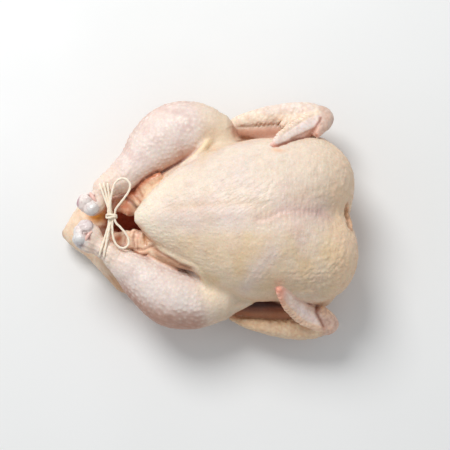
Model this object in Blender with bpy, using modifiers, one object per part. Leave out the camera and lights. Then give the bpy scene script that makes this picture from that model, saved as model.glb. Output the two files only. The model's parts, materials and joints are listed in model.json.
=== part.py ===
"""Whole raw chicken, trussed at the ankles and lying on its back.

Axes: +X points to the neck end, -X to the tail and the tied ankles, +Y is the
bird's right side, +Z is up through the breast. The tables below are drawn on a
pattern 266 units long, and BIRD_LENGTH says how long the real bird is, so one
unit is about 0.88 mm. PLACE moves the finished bird so that its bounding box
stands on the origin.
"""
import math

import bmesh
import bpy
from mathutils import Matrix, Vector
from mathutils.bvhtree import BVHTree

# ---------------------------------------------------------------------- sizes
BIRD_LENGTH = 0.2345        # tail to neck, metres
TWINE_DIAMETER = 0.0016     # metres
PATTERN_LENGTH = 266.0      # the same length in pattern units
UNIT = BIRD_LENGTH / PATTERN_LENGTH

# pattern units from here on
BREAST_TOP = 115.5          # height of the breast over the table
BREAST_HALF_WIDTH = 72.5    # widest part of the breast
BREAST_TIP_X = -80.0        # rear end of the breast, over the cavity
LOBE_GAP = 64.0             # distance between the two breast lobes at the neck
ANKLE_HEIGHT = 66.0         # centre of the tied ankles
CAVITY_HALF_WIDTH = 33.0
CAVITY_FLOOR = 18.0         # thickness of the back under the cavity
TWINE_GAP = 1.3             # slack between the twine and the skin
MESH_STEP = 2.4             # grid step of the skin while it is blended
SKIN_RATIO = 0.088          # share of the blended skin faces that is kept
TWINE_STEP = 0.52           # grid step of the twine while its strands are joined
TWINE_RATIO = 0.0995        # share of the twine faces that is kept
PLACE = Vector((16.1, -0.75, 0.0))

# ------------------------------------------------------------ fresh document
for old in list(bpy.data.objects):
    bpy.data.objects.remove(old, do_unlink=True)
for old in list(bpy.data.collections):
    bpy.data.collections.remove(old)

bird = bpy.data.collections.new("raw_chicken")
tools = bpy.data.collections.new("cutters")
bpy.context.scene.collection.children.link(bird)
bpy.context.scene.collection.children.link(tools)


def material(name, colour, roughness, metallic=0.0):
    mat = bpy.data.materials.new(name)
    mat.use_nodes = True
    shader = mat.node_tree.nodes["Principled BSDF"]
    shader.inputs["Base Color"].default_value = (*colour, 1.0)
    shader.inputs["Roughness"].default_value = roughness
    shader.inputs["Metallic"].default_value = metallic
    return mat


# ------------------------------------------------------------------- lofting
def blend_rows(rows, steps):
    """Catmull-Rom through the rows of a table, column by column."""
    out = []
    for i in range(len(rows) - 1):
        p1, p2 = rows[i], rows[i + 1]
        p0 = rows[i - 1] if i else [2 * a - b for a, b in zip(p1, p2)]
        p3 = rows[i + 2] if i + 2 < len(rows) else [2 * b - a for a, b in zip(p1, p2)]
        for k in range(steps):
            t = k / steps
            out.append([
                0.5 * (2 * b + (c - a) * t + (2 * a - 5 * b + 4 * c - d) * t ** 2
                       + (3 * b - a - 3 * c + d) * t ** 3)
                for a, b, c, d in zip(p0, p1, p2, p3)
            ])
    out.append(list(rows[-1]))
    return out


def skin_rings(bm, rings):
    """Closed tube through rings of equal count, with an n-gon at each end."""
    loops = [[bm.verts.new(p * UNIT) for p in ring] for ring in rings]
    n = len(loops[0])
    for a, b in zip(loops, loops[1:]):
        for i in range(n):
            j = (i + 1) % n
            bm.faces.new((a[i], a[j], b[j], b[i]))
    bm.faces.new(list(reversed(loops[0])))
    bm.faces.new(loops[-1])


def limb(bm, rows, steps=5, sides=24, cap=0.8):
    """Rounded limb. Rows: x, y, z, half width, half height, roll in degrees."""
    rows = blend_rows([list(r) + [0.0] * (6 - len(r)) for r in rows], steps)
    mids = [Vector(r[:3]) for r in rows]
    rings = []
    for i, r in enumerate(rows):
        along = (mids[min(i + 1, len(mids) - 1)] - mids[max(i - 1, 0)]).normalized()
        side = Vector((0, 0, 1)).cross(along).normalized()
        up = along.cross(side)
        turn = Matrix.Rotation(math.radians(r[5]), 3, along)
        rings.append((mids[i], along, turn @ side, turn @ up, r[3], r[4]))
    first, last = rings[0], rings[-1]
    for s in (0.35, 0.7, 0.92):
        h = math.sqrt(1 - s * s)
        m, t, u, v, a, b = first
        rings.insert(0, (m - t * min(a, b) * cap * s, t, u, v, a * h, b * h))
        m, t, u, v, a, b = last
        rings.append((m + t * min(a, b) * cap * s, t, u, v, a * h, b * h))
    skin_rings(bm, [
        [m + u * a * math.cos(2 * math.pi * k / sides) + v * b * math.sin(2 * math.pi * k / sides)
         for k in range(sides)]
        for m, t, u, v, a, b in rings
    ])


def barrel(bm, rows, power=2.3, steps=4, sides=40, cap=0.35):
    """Body loft across X. Rows: x, y low, y high, z low, z widest, z top."""
    rows = blend_rows(rows, steps)
    for s in (0.5, 0.85):
        h = math.sqrt(1 - s * s)
        for end, sign in ((0, -1), (-1, 1)):
            src = rows[0] if end == 0 else rows[-1]
            if s > 0.5:
                src = first if end == 0 else last
            elif end == 0:
                first = src
            else:
                last = src
            x, y0, y1, z0, zm, z1 = src
            ym = (y0 + y1) / 2
            reach = cap * min(y1 - y0, z1 - z0) / 2
            row = [x + sign * reach * s, ym + (y0 - ym) * h, ym + (y1 - ym) * h,
                   zm + (z0 - zm) * h, zm, zm + (z1 - zm) * h]
            if end == 0:
                rows.insert(0, row)
            else:
                rows.append(row)
    rings = []
    for x, y0, y1, z0, zm, z1 in rows:
        ring = []
        for k in range(sides):
            c, s = math.cos(2 * math.pi * k / sides), math.sin(2 * math.pi * k / sides)
            y = math.copysign(abs(c) ** (2 / power), c)
            z = math.copysign(abs(s) ** (2 / power), s)
            ym = (y0 + y1) / 2
            ring.append(Vector((x, ym + y * (y1 - ym), zm + z * ((z1 - zm) if z > 0 else (zm - z0)))))
        rings.append(ring)
    skin_rings(bm, rings)


def ball(bm, centre, radii, sides=24):
    """Ellipsoid."""
    place = Matrix.Translation(Vector(centre) * UNIT) @ Matrix.Diagonal((*[r * UNIT for r in radii], 1))
    bmesh.ops.create_uvsphere(bm, u_segments=sides, v_segments=sides // 2, radius=1.0, matrix=place)


def mesh_object(name, bm, collection, mat=None):
    bmesh.ops.recalc_face_normals(bm, faces=bm.faces)
    mesh = bpy.data.meshes.new(name)
    bm.to_mesh(mesh)
    bm.free()
    obj = bpy.data.objects.new(name, mesh)
    collection.objects.link(obj)
    if mat:
        mesh.materials.append(mat)
    return obj


def cutter(name, bm):
    obj = mesh_object(name, bm, tools)
    obj.hide_render = True
    obj.display_type = "WIRE"
    return obj


# --------------------------------------------------------------- body tables
W = BREAST_HALF_WIDTH
T = BREAST_TOP
TIP = BREAST_TIP_X

# breast and rib cage: x, y low, y high, z low, z widest, z top
BREAST = [
    (TIP + 2, -5, 6, 68, 72, 77),
    (TIP + 9, -13, 17, 57, 68, 84),
    (TIP + 18, -22, 27, 48, 64, 89),
    (TIP + 40, -37, 47, 30, 60, T - 18),
    (TIP + 66, -57, 61, 8, 56, T - 9),
    (TIP + 98, -W + 1, W - 2, -3, 53, T - 2),
    (TIP + 124, -W, W, -4, 52, T),
    (TIP + 147, -W - 1, W - 3, -3, 52, T - 4),
    (TIP + 164, -W + 2, W - 5, 3, 53, T - 14),
    (TIP + 176, -W + 14, W - 16, 13, 55, T - 27),
    (TIP + 183, -W + 30, W - 30, 26, 58, T - 41),
]

# back, pelvis and tail
PELVIS = [
    (-147.5, -14, -5, 12, 18, 24),
    (-139, -23, 10, 7, 18, 29),
    (-127, -31, 24, 3, 17, 31),
    (-112, -46, 34, 0, 16, 32),
    (-96, -62, 45, -2, 16, 34),
    (-78, -66, 56, -3, 18, 38),
    (-55, -62, 60, -4, 22, 46),
    (-25, -56, 56, -4, 28, 60),
    (5, -50, 50, -4, 30, 66),
]

A = ANKLE_HEIGHT
# legs: x, y, z, half width, half height
RIGHT_DRUMSTICK = [
    (-107.8, 26.2, A - 1, 10.2, 10.2),
    (-100.0, 32.3, A - 3, 12.1, 12.0),
    (-92.3, 36.8, A - 5, 14.3, 14.2),
    (-82.7, 45.3, A - 7, 16.2, 16.5),
    (-75.7, 51.9, A - 9, 18.9, 19.5),
    (-64.9, 63.7, A - 12, 24.0, 24.0),
    (-50.1, 75.5, A - 16, 27.8, 27.5),
    (-36.0, 80.5, A - 17, 27.0, 27.0),
    (-21.5, 82.0, A - 19, 23.4, 24.5),
    (-7.0, 79.5, A - 21, 17.5, 20.0),
]
LEFT_DRUMSTICK = [
    (-106.9, -26.4, A - 1, 9.3, 9.3),
    (-101.3, -30.8, A - 2, 9.7, 9.8),
    (-95.2, -36.0, A - 4, 11.2, 11.2),
    (-84.8, -42.9, A - 7, 15.7, 15.7),
    (-76.1, -49.3, A - 10, 20.2, 20.0),
    (-64.2, -57.6, A - 13, 24.0, 24.0),
    (-48.2, -67.5, A - 16, 27.3, 27.0),
    (-34.3, -70.6, A - 18, 26.8, 26.5),
    (-20.0, -71.8, A - 20, 24.0, 24.5),
    (-5.0, -71.5, A - 21, 17.0, 20.0),
]
RIGHT_THIGH = [(-84, 34, 22, 14, 15), (-62, 44, 25, 22, 21), (-38, 55, 30, 27, 27),
               (-14, 63, 37, 25, 27), (2, 64, 45, 17, 21)]
LEFT_THIGH = [(-84, -38, 22, 14, 15), (-62, -46, 25, 22, 21), (-38, -54, 30, 27, 27),
              (-14, -60, 37, 25, 27), (5, -61, 45, 19, 21)]
# skin either side of the cavity mouth
RIGHT_FLAP = [(-42, 36, 54, 12, 12), (-68, 27, 48, 11, 11), (-88, 19, 41, 9, 9),
              (-106, 12, 33, 7, 8), (-118, 7, 26, 5, 6)]
LEFT_FLAP = [(-42, -34, 54, 12, 12), (-70, -25, 48, 11, 11), (-88, -17, 41, 9, 9),
             (-104, -12, 33, 7, 8), (-116, -8, 26, 5, 6)]
# cut ends of the legs: centre, radii
RIGHT_HOCK = ((-119.5, 12.8, A), (10.6, 10.6, 10.2))
LEFT_HOCK = ((-121.1, -16.3, A - 1), (13.4, 13.6, 11.8))

# wings: the upper arm runs back along the flank, the forearm forward again,
# and the tip leans up on the side of the breast
RIGHT_UPPER_ARM = [(82, 56, 38, 20, 22), (62, 67, 31, 15, 17), (38, 75, 26, 12, 13), (12, 84, 26, 8, 10)]
RIGHT_FOREARM = [(7, 88.5, 34, 4.5, 8), (16.4, 91, 37, 6.8, 10.5), (33.6, 94, 39, 8.6, 12.5),
                 (53.5, 96.6, 40, 9.7, 12.5), (73.3, 96.8, 43, 10.1, 12), (89, 92, 46, 9.9, 10)]
RIGHT_TIP = [(87, 90, 51, 9.8, 7.5), (76.8, 85, 58, 10.4, 5.8), (67.4, 79.5, 65, 9.7, 4.8),
             (59, 73.9, 74, 8.6, 4.2), (50.6, 68.1, 82, 6.8, 3.6), (44.3, 63.2, 88, 4.3, 3), (41.8, 61.1, 90, 2.6, 2.4)]
RIGHT_THUMB = [(86.6, 90.8, 58, 4.9, 4.5), (82.7, 82.1, 62, 4.9, 4.5), (81.6, 76.5, 64, 4.2, 3.8)]
RIGHT_WEB = [(82, 91, 49, 7, 7), (66, 87.5, 51, 7, 5), (53, 84, 54, 5, 4.5)]
LEFT_UPPER_ARM = [(82, -58, 38, 20, 22), (62, -67, 31, 15, 16), (38, -74, 25, 11, 12), (15, -80, 24, 7, 10)]
LEFT_FOREARM = [(8, -85, 29, 4.5, 8), (15, -87.5, 30, 6.4, 10), (33.3, -92.8, 32, 8.4, 12),
                (53.9, -96.9, 33, 9.2, 12.5), (74.4, -96.6, 36, 9.8, 12), (91, -91.5, 41, 9.8, 10)]
LEFT_TIP = [(87, -88.9, 47, 9.8, 7.5), (76.1, -86.2, 54, 10.2, 5.8), (68.2, -82.6, 61, 9.9, 4.8),
            (61.2, -77.1, 69, 9.2, 4.2), (55.1, -72.5, 77, 7.7, 3.8), (50, -67.2, 85, 5.4, 3.4), (46.8, -63, 90, 3.4, 3)]
LEFT_THUMB = [(93, -87.2, 52, 5.3, 4.6), (87.4, -82, 56, 5.3, 4.5), (84.2, -79, 58, 4.2, 3.8)]
LEFT_WEB = [(82, -92, 45, 7, 7), (67, -89.5, 45, 6.5, 5), (54.5, -86.5, 45, 5, 4.5)]

# body cavity, from its mouth between the ankles to the ribs at the neck
F = CAVITY_FLOOR
CAVITY = [
    (-106, -4, 6, F + 12, 48, 75),
    (-98, -8, 9, F + 6, 46, 72),
    (-86, -11, 11, F + 3, 42, 67),
    (-70, -17, 17, F + 1, 40, 64),
    (-48, -25, 26, F, 42, 68),
    (-18, -CAVITY_HALF_WIDTH, CAVITY_HALF_WIDTH, F, 45, 73),
    (14, -CAVITY_HALF_WIDTH, CAVITY_HALF_WIDTH, F, 46, 75),
    (42, -26, 26, F + 4, 47, 73),
    (58, -15, 15, F + 12, 48, 66),
]

# twine: knot, taut loops round each ankle, and a bow with two loops
KNOT = Vector((-99.5, 1.2, 73.5))
ANKLE_WRAPS = {           # middle of the ankle inside each turn of twine
    "right": [(-106.3, 22.5, A - 1), (-103.4, 22.5, A - 1)],
    "left": [(-105.2, -21.5, A - 1), (-102.6, -22.5, A - 1)],
}
RIGHT_BOW = [(-1.0, 6, 3.0), (-0.6, 13, 4.4), (1.2, 22, 5.8), (3.8, 29, 6.6), (9.0, 32.6, 6.9), (14.0, 31.2, 6.8),
             (16.8, 26.5, 6.4), (15.2, 21.0, 5.8), (11.0, 15.0, 4.8), (6.5, 9.5, 3.4), (3.0, 5.0, 2.0)]
LEFT_BOW = [(2.5, -4.5, 0.6), (7.5, -9.2, 0.0), (12.5, -15.0, -0.8), (15.2, -20.6, -1.6), (14.6, -25.0, -2.2),
            (11.0, -27.6, -2.4), (6.5, -26.6, -2.0), (3.0, -22.4, -1.4), (1.2, -16.0, -0.8), (0.8, -9.0, 0.0)]

# ------------------------------------------------------------------ the bird
bm = bmesh.new()
barrel(bm, BREAST)
barrel(bm, PELVIS, power=2.2)
ball(bm, (78, LOBE_GAP / 2 + 1, 64), (36, 36.5, 42))
ball(bm, (81, -LOBE_GAP / 2, 62), (36.3, 40, 42))
for table in (RIGHT_DRUMSTICK, LEFT_DRUMSTICK, RIGHT_THIGH, LEFT_THIGH,
              RIGHT_UPPER_ARM, RIGHT_FOREARM, RIGHT_TIP, RIGHT_THUMB, RIGHT_WEB,
              LEFT_UPPER_ARM, LEFT_FOREARM, LEFT_TIP, LEFT_THUMB, LEFT_WEB,
              RIGHT_FLAP, LEFT_FLAP):
    limb(bm, table)
for centre, radii in (RIGHT_HOCK, LEFT_HOCK):
    ball(bm, centre, radii)
chicken = mesh_object("chicken", bm, bird, material("raw_skin", (0.76, 0.62, 0.50), 0.42))
chicken.location = PLACE * UNIT

bm = bmesh.new()
barrel(bm, CAVITY, power=2.1)
cavity = cutter("cut_cavity", bm)

bm = bmesh.new()
ball(bm, (113, -2.5, 64), (12.5, 8.5, 17))
neck = cutter("cut_neck", bm)

bm = bmesh.new()
bmesh.ops.create_cube(bm, size=1.0, matrix=Matrix.Translation((0, 0, -0.025)) @ Matrix.Diagonal((0.6, 0.6, 0.05, 1)))
table_top = cutter("cut_table", bm)

for obj in (cavity, neck, table_top):
    obj.location = PLACE * UNIT


def modifier(obj, kind, name, **settings):
    mod = obj.modifiers.new(name, kind)
    for key, value in settings.items():
        setattr(mod, key, value)
    return mod


modifier(chicken, "REMESH", "one skin", mode="VOXEL", voxel_size=MESH_STEP * UNIT, adaptivity=0.0)
modifier(chicken, "SMOOTH", "soft folds", factor=0.5, iterations=7)
modifier(chicken, "BOOLEAN", "body cavity", operation="DIFFERENCE", object=cavity)
modifier(chicken, "BOOLEAN", "neck opening", operation="DIFFERENCE", object=neck)
modifier(chicken, "DECIMATE", "plain facets", decimate_type="COLLAPSE", ratio=SKIN_RATIO)
modifier(chicken, "BOOLEAN", "flat back", operation="DIFFERENCE", object=table_top)


# ------------------------------------------------------------------ the twine
def taut_turn(skin, centre, rays=36):
    """Loop from the knot round an ankle: the string pulled tight over the skin.

    The loop lies in the upright plane through the knot and the middle of the
    ankle, and is the outline of the knot and the ankle's section there.
    """
    centre = Vector(centre)
    out = Vector((centre.x - KNOT.x, centre.y - KNOT.y, 0.0)).normalized()
    clear = TWINE_DIAMETER / UNIT / 2 + TWINE_GAP
    flat = [(0.0, 0.0)]
    for k in range(rays):
        angle = 2 * math.pi * k / rays
        ray = out * math.cos(angle) + Vector((0, 0, math.sin(angle)))
        hit = skin.ray_cast(centre * UNIT, ray)[0]
        if hit is not None and (hit / UNIT - centre).length < 22:
            p = hit / UNIT + ray * clear - KNOT
            flat.append((p.dot(out), p.z))
    hull = outline(flat)
    start = hull.index((0.0, 0.0))
    hull = hull[start:] + hull[:start] + [(0.0, 0.0)]
    return [KNOT + out * u + Vector((0, 0, w)) for u, w in hull]


def outline(points):
    """Convex outline of points in a plane, counterclockwise."""
    points = sorted(set(points))

    def half(run):
        side = []
        for p in run:
            while len(side) > 1 and (
                (side[-1][0] - side[-2][0]) * (p[1] - side[-2][1])
                - (side[-1][1] - side[-2][1]) * (p[0] - side[-2][0])
            ) <= 0:
                side.pop()
            side.append(p)
        return side[:-1]

    return half(points) + half(list(reversed(points)))


def even(points, step):
    """The same path with a point every step."""
    out, rest = [points[0]], step
    for a, b in zip(points, points[1:]):
        run = (b - a).length
        while rest < run:
            out.append(a.lerp(b, rest / run))
            rest += step
        rest -= run
    if (out[-1] - points[-1]).length < step * 0.5:
        out.pop()
    return out + [points[-1]]


def cord(name, points):
    """Tube of twine along a path, as a closed mesh."""
    curve = bpy.data.curves.new(name, "CURVE")
    curve.dimensions = "3D"
    curve.bevel_depth = TWINE_DIAMETER / 2
    curve.bevel_resolution = 2
    curve.use_fill_caps = True
    line = curve.splines.new("POLY")
    line.points.add(len(points) - 1)
    for point, p in zip(line.points, points):
        point.co = (*(p * UNIT), 1.0)
    obj = bpy.data.objects.new(name, curve)
    tools.objects.link(obj)
    bpy.context.view_layer.update()
    mesh = bpy.data.meshes.new_from_object(obj.evaluated_get(bpy.context.evaluated_depsgraph_get()))
    bpy.data.objects.remove(obj, do_unlink=True)
    bm = bmesh.new()
    bm.from_mesh(mesh)
    bmesh.ops.remove_doubles(bm, verts=bm.verts, dist=0.00001)
    bpy.data.meshes.remove(mesh)
    return bm


def smooth_path(points, steps=6):
    return [Vector(p) for p in blend_rows([tuple(p) for p in points], steps)]


chicken.location = (0, 0, 0)
for obj in (cavity, neck, table_top):
    obj.location = (0, 0, 0)
bpy.context.view_layer.update()
depsgraph = bpy.context.evaluated_depsgraph_get()
skin = BVHTree.FromObject(chicken, depsgraph)

paths = []
for side in ("right", "left"):
    for centre in ANKLE_WRAPS[side]:
        paths.append(even(taut_turn(skin, centre), 3.0))
for bow in (RIGHT_BOW, LEFT_BOW):
    ring = [KNOT] + [KNOT + Vector(p) for p in bow] + [KNOT]
    paths.append(even(smooth_path(ring), 3.0))
band = [KNOT + Vector((4.0 * math.cos(a), 0.25 * math.sin(2 * a), 3.2 * math.sin(a)))
        for a in (2 * math.pi * k / 24 for k in range(25))]
paths.append(band)

bm = bmesh.new()
for path in paths:
    strand = cord("strand", path)
    mesh = bpy.data.meshes.new("strand")
    strand.to_mesh(mesh)
    strand.free()
    bm.from_mesh(mesh)
    bpy.data.meshes.remove(mesh)
ball(bm, KNOT, (3.2, 4.0, 2.6), sides=16)
twine = mesh_object("twine", bm, bird, material("twine_cotton", (0.86, 0.79, 0.66), 0.9))
modifier(twine, "REMESH", "one knot", mode="VOXEL", voxel_size=TWINE_STEP * UNIT, adaptivity=0.0)
modifier(twine, "SMOOTH", "soft knot", factor=0.4, iterations=2)
modifier(twine, "DECIMATE", "plain facets", decimate_type="COLLAPSE", ratio=TWINE_RATIO)

for obj in (chicken, twine, cavity, neck, table_top):
    obj.location = PLACE * UNIT
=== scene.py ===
"""Whole raw chicken, trussed at the ankles, lying on its back on a pale floor.

The skin is blended as distance fields from the same tables as the CAD part,
meshed once, wrinkled and pimpled point by point, and painted by region. One
pattern unit is about 0.88 mm; +X is the neck end, +Y the bird's right side.
"""

import json
import math

import bmesh
import bpy
import numpy as np
import openvdb
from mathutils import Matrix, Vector
from mathutils.bvhtree import BVHTree

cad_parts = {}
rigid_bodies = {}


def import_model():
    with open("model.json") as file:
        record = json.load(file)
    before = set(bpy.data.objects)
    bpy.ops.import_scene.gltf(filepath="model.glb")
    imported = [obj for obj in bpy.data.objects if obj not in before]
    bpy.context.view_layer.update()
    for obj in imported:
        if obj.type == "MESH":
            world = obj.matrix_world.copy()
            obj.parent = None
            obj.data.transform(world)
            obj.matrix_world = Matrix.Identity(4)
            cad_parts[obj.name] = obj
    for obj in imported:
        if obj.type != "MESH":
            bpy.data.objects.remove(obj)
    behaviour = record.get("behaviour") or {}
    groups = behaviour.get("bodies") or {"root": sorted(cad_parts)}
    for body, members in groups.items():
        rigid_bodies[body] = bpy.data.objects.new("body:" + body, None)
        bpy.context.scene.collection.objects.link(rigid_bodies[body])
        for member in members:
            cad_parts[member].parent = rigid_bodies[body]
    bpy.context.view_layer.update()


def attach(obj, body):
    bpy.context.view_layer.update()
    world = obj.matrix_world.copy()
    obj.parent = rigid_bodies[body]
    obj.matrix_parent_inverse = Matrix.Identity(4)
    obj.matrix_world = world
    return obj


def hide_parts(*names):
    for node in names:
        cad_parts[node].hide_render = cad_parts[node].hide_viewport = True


for old in list(bpy.data.objects):
    bpy.data.objects.remove(old, do_unlink=True)
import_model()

BIRD_LENGTH = 0.2345
UNIT = BIRD_LENGTH / 266.0
PLACE = np.array([16.1, -0.75, 0.0])
scene = bpy.context.scene


# ------------------------------------------------------------------ arithmetic
def unit_of(v):
    return v / np.maximum(np.linalg.norm(v, axis=-1, keepdims=True), 1e-9)


def step(a, b, x):
    """Smooth step from 0 at a to 1 at b; a may be the larger."""
    t = np.clip((x - a) / (b - a), 0, 1)
    return t * t * (3 - 2 * t)


def bell(x, width):
    return np.exp(-(x / width) ** 2)


def catmull(rows, steps):
    rows = np.asarray(rows, float)
    first = 2 * rows[0] - rows[1]
    last = 2 * rows[-1] - rows[-2]
    r = np.vstack([first, rows, last])
    out = []
    for i in range(1, len(r) - 2):
        a, b, c, d = r[i - 1], r[i], r[i + 1], r[i + 2]
        for k in range(steps):
            t = k / steps
            out.append(0.5 * (2 * b + (c - a) * t + (2 * a - 5 * b + 4 * c - d) * t * t
                              + (3 * b - a - 3 * c + d) * t ** 3))
    out.append(rows[-1])
    return np.array(out)


def near(points, path):
    """Distance to a polyline, arc length of the nearest point, and that point."""
    path = np.asarray(path, float)
    best = np.full(len(points), 1e9)
    along = np.zeros(len(points))
    foot = np.zeros((len(points), path.shape[1]))
    run = 0.0
    for a, b in zip(path, path[1:]):
        ab = b - a
        length = np.linalg.norm(ab)
        t = np.clip(((points - a) @ ab) / (length * length), 0, 1)
        q = a + t[:, None] * ab
        d = np.linalg.norm(points - q, axis=1)
        better = d < best
        best[better] = d[better]
        along[better] = run + t[better] * length
        foot[better] = q[better]
        run += length
    return best, along, foot


def hashed(i, j, k, seed):
    """Evenly spread numbers from 0 to 1 for whole-number cells."""
    h = (i * 374761393 + j * 668265263 + k * 1442695041 + seed * 974634777) & 0xFFFFFFFF
    h = ((h ^ (h >> 13)) * 1274126177) & 0xFFFFFFFF
    h = ((h ^ (h >> 15)) * 2246822519) & 0xFFFFFFFF
    return ((h ^ (h >> 16)) & 0xFFFFFF) / float(0xFFFFFF)


def noise(p, size, seed=0, octaves=1, gain=0.5):
    """Gradient noise of about -1 to 1 with features about size across."""
    total, weight, amp = 0.0, 0.0, 1.0
    q = np.asarray(p, float) / size
    for o in range(octaves):
        c = np.floor(q).astype(np.int64)
        f = q - c
        u = f ** 3 * (f * (f * 6 - 15) + 10)
        acc = 0.0
        for dx in (0, 1):
            for dy in (0, 1):
                for dz in (0, 1):
                    ix, iy, iz = c[:, 0] + dx, c[:, 1] + dy, c[:, 2] + dz
                    gx = hashed(ix, iy, iz, seed + o * 31 + 1) * 2 - 1
                    gy = hashed(ix, iy, iz, seed + o * 31 + 2) * 2 - 1
                    gz = hashed(ix, iy, iz, seed + o * 31 + 3) * 2 - 1
                    dot = gx * (f[:, 0] - dx) + gy * (f[:, 1] - dy) + gz * (f[:, 2] - dz)
                    w = ((u[:, 0] if dx else 1 - u[:, 0]) * (u[:, 1] if dy else 1 - u[:, 1])
                         * (u[:, 2] if dz else 1 - u[:, 2]))
                    acc = acc + w * dot
        total = total + acc * amp
        weight += amp
        amp *= gain
        q = q * 2.03 + 17.3
    return total / weight * 1.9


def dots(s, t, gap_s, gap_t, jitter, seed):
    """Distance, in cells, to the nearest point of a staggered, jittered lattice."""
    a = s / gap_s
    row = np.floor(a).astype(np.int64)
    best = np.full(len(s), 9.0)
    for di in (-1, 0, 1):
        i = row + di
        shift = 0.5 * (i & 1)
        b = t / gap_t - shift
        col = np.floor(b).astype(np.int64)
        for dj in (-1, 0, 1):
            j = col + dj
            ca = i + 0.5 + jitter * (hashed(i, j, 0 * i, seed) - 0.5)
            cb = j + 0.5 + jitter * (hashed(i, j, 0 * i + 7, seed) - 0.5)
            d = np.sqrt((a - ca) ** 2 + ((b - cb) * gap_t / gap_s) ** 2)
            best = np.minimum(best, d)
    return best


# ---------------------------------------------------------- closed loft meshes
def skinned(rings):
    """Points, quads and triangles of a closed tube through the rings."""
    rings = np.asarray(rings, float)
    m, n = rings.shape[:2]
    pts = rings.reshape(-1, 3)
    i = np.arange(n)
    j = (i + 1) % n
    quads = np.vstack([np.column_stack([r * n + i, r * n + j, (r + 1) * n + j, (r + 1) * n + i])
                       for r in range(m - 1)])
    pts = np.vstack([pts, rings[0].mean(0), rings[-1].mean(0)])
    tris = np.vstack([np.column_stack([j, i, np.full(n, m * n)]),
                      np.column_stack([(m - 1) * n + i, (m - 1) * n + j, np.full(n, m * n + 1)])])
    return pts, quads, tris


def limb(rows, steps=6, sides=32, cap=0.8, power=2.0):
    """Rounded limb. Rows: x, y, z, half width, half height."""
    rows = catmull(rows, steps)
    mids = rows[:, :3]
    turn = np.linspace(0, 2 * np.pi, sides, endpoint=False)
    rings = []
    for i, r in enumerate(rows):
        along = unit_of(mids[min(i + 1, len(mids) - 1)] - mids[max(i - 1, 0)])
        side = unit_of(np.cross([0, 0, 1.0], along))
        rings.append((mids[i], along, side, np.cross(along, side), r[3], r[4]))
    first, last = rings[0], rings[-1]
    for s in (0.35, 0.7, 0.92):
        h = math.sqrt(1 - s * s)
        m, t, u, v, a, b = first
        rings.insert(0, (m - t * min(a, b) * cap * s, t, u, v, a * h, b * h))
        m, t, u, v, a, b = last
        rings.append((m + t * min(a, b) * cap * s, t, u, v, a * h, b * h))
    c = np.sign(np.cos(turn)) * np.abs(np.cos(turn)) ** (2 / power)
    s = np.sign(np.sin(turn)) * np.abs(np.sin(turn)) ** (2 / power)
    return skinned([m + np.outer(c * a, u) + np.outer(s * b, v) for m, t, u, v, a, b in rings])


def barrel(rows, power=2.3, steps=6, sides=56, cap=0.35):
    """Body loft across X. Rows: x, y low, y high, z low, z widest, z top."""
    rows = list(catmull(rows, steps))
    first, last = rows[0], rows[-1]
    for s in (0.5, 0.85):
        h = math.sqrt(1 - s * s)
        for src, sign in ((first, -1), (last, 1)):
            x, y0, y1, z0, zm, z1 = src
            ym = (y0 + y1) / 2
            reach = cap * min(y1 - y0, z1 - z0) / 2
            row = [x + sign * reach * s, ym + (y0 - ym) * h, ym + (y1 - ym) * h,
                   zm + (z0 - zm) * h, zm, zm + (z1 - zm) * h]
            if sign < 0:
                rows.insert(0, row)
            else:
                rows.append(row)
    turn = np.linspace(0, 2 * np.pi, sides, endpoint=False)
    y = np.sign(np.cos(turn)) * np.abs(np.cos(turn)) ** (2 / power)
    z = np.sign(np.sin(turn)) * np.abs(np.sin(turn)) ** (2 / power)
    rings = []
    for x, y0, y1, z0, zm, z1 in rows:
        ym = (y0 + y1) / 2
        rings.append(np.column_stack([np.full(sides, x), ym + y * (y1 - ym),
                                      zm + z * np.where(z > 0, z1 - zm, zm - z0)]))
    return skinned(rings)


def ball(centre, radii, sides=32):
    rings = []
    for a in np.linspace(-np.pi / 2, np.pi / 2, sides // 2 + 1)[1:-1]:
        turn = np.linspace(0, 2 * np.pi, sides, endpoint=False)
        rings.append(np.column_stack([np.cos(turn) * math.cos(a), np.sin(turn) * math.cos(a),
                                      np.full(sides, math.sin(a))]) * radii + centre)
    return skinned(rings)


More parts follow.
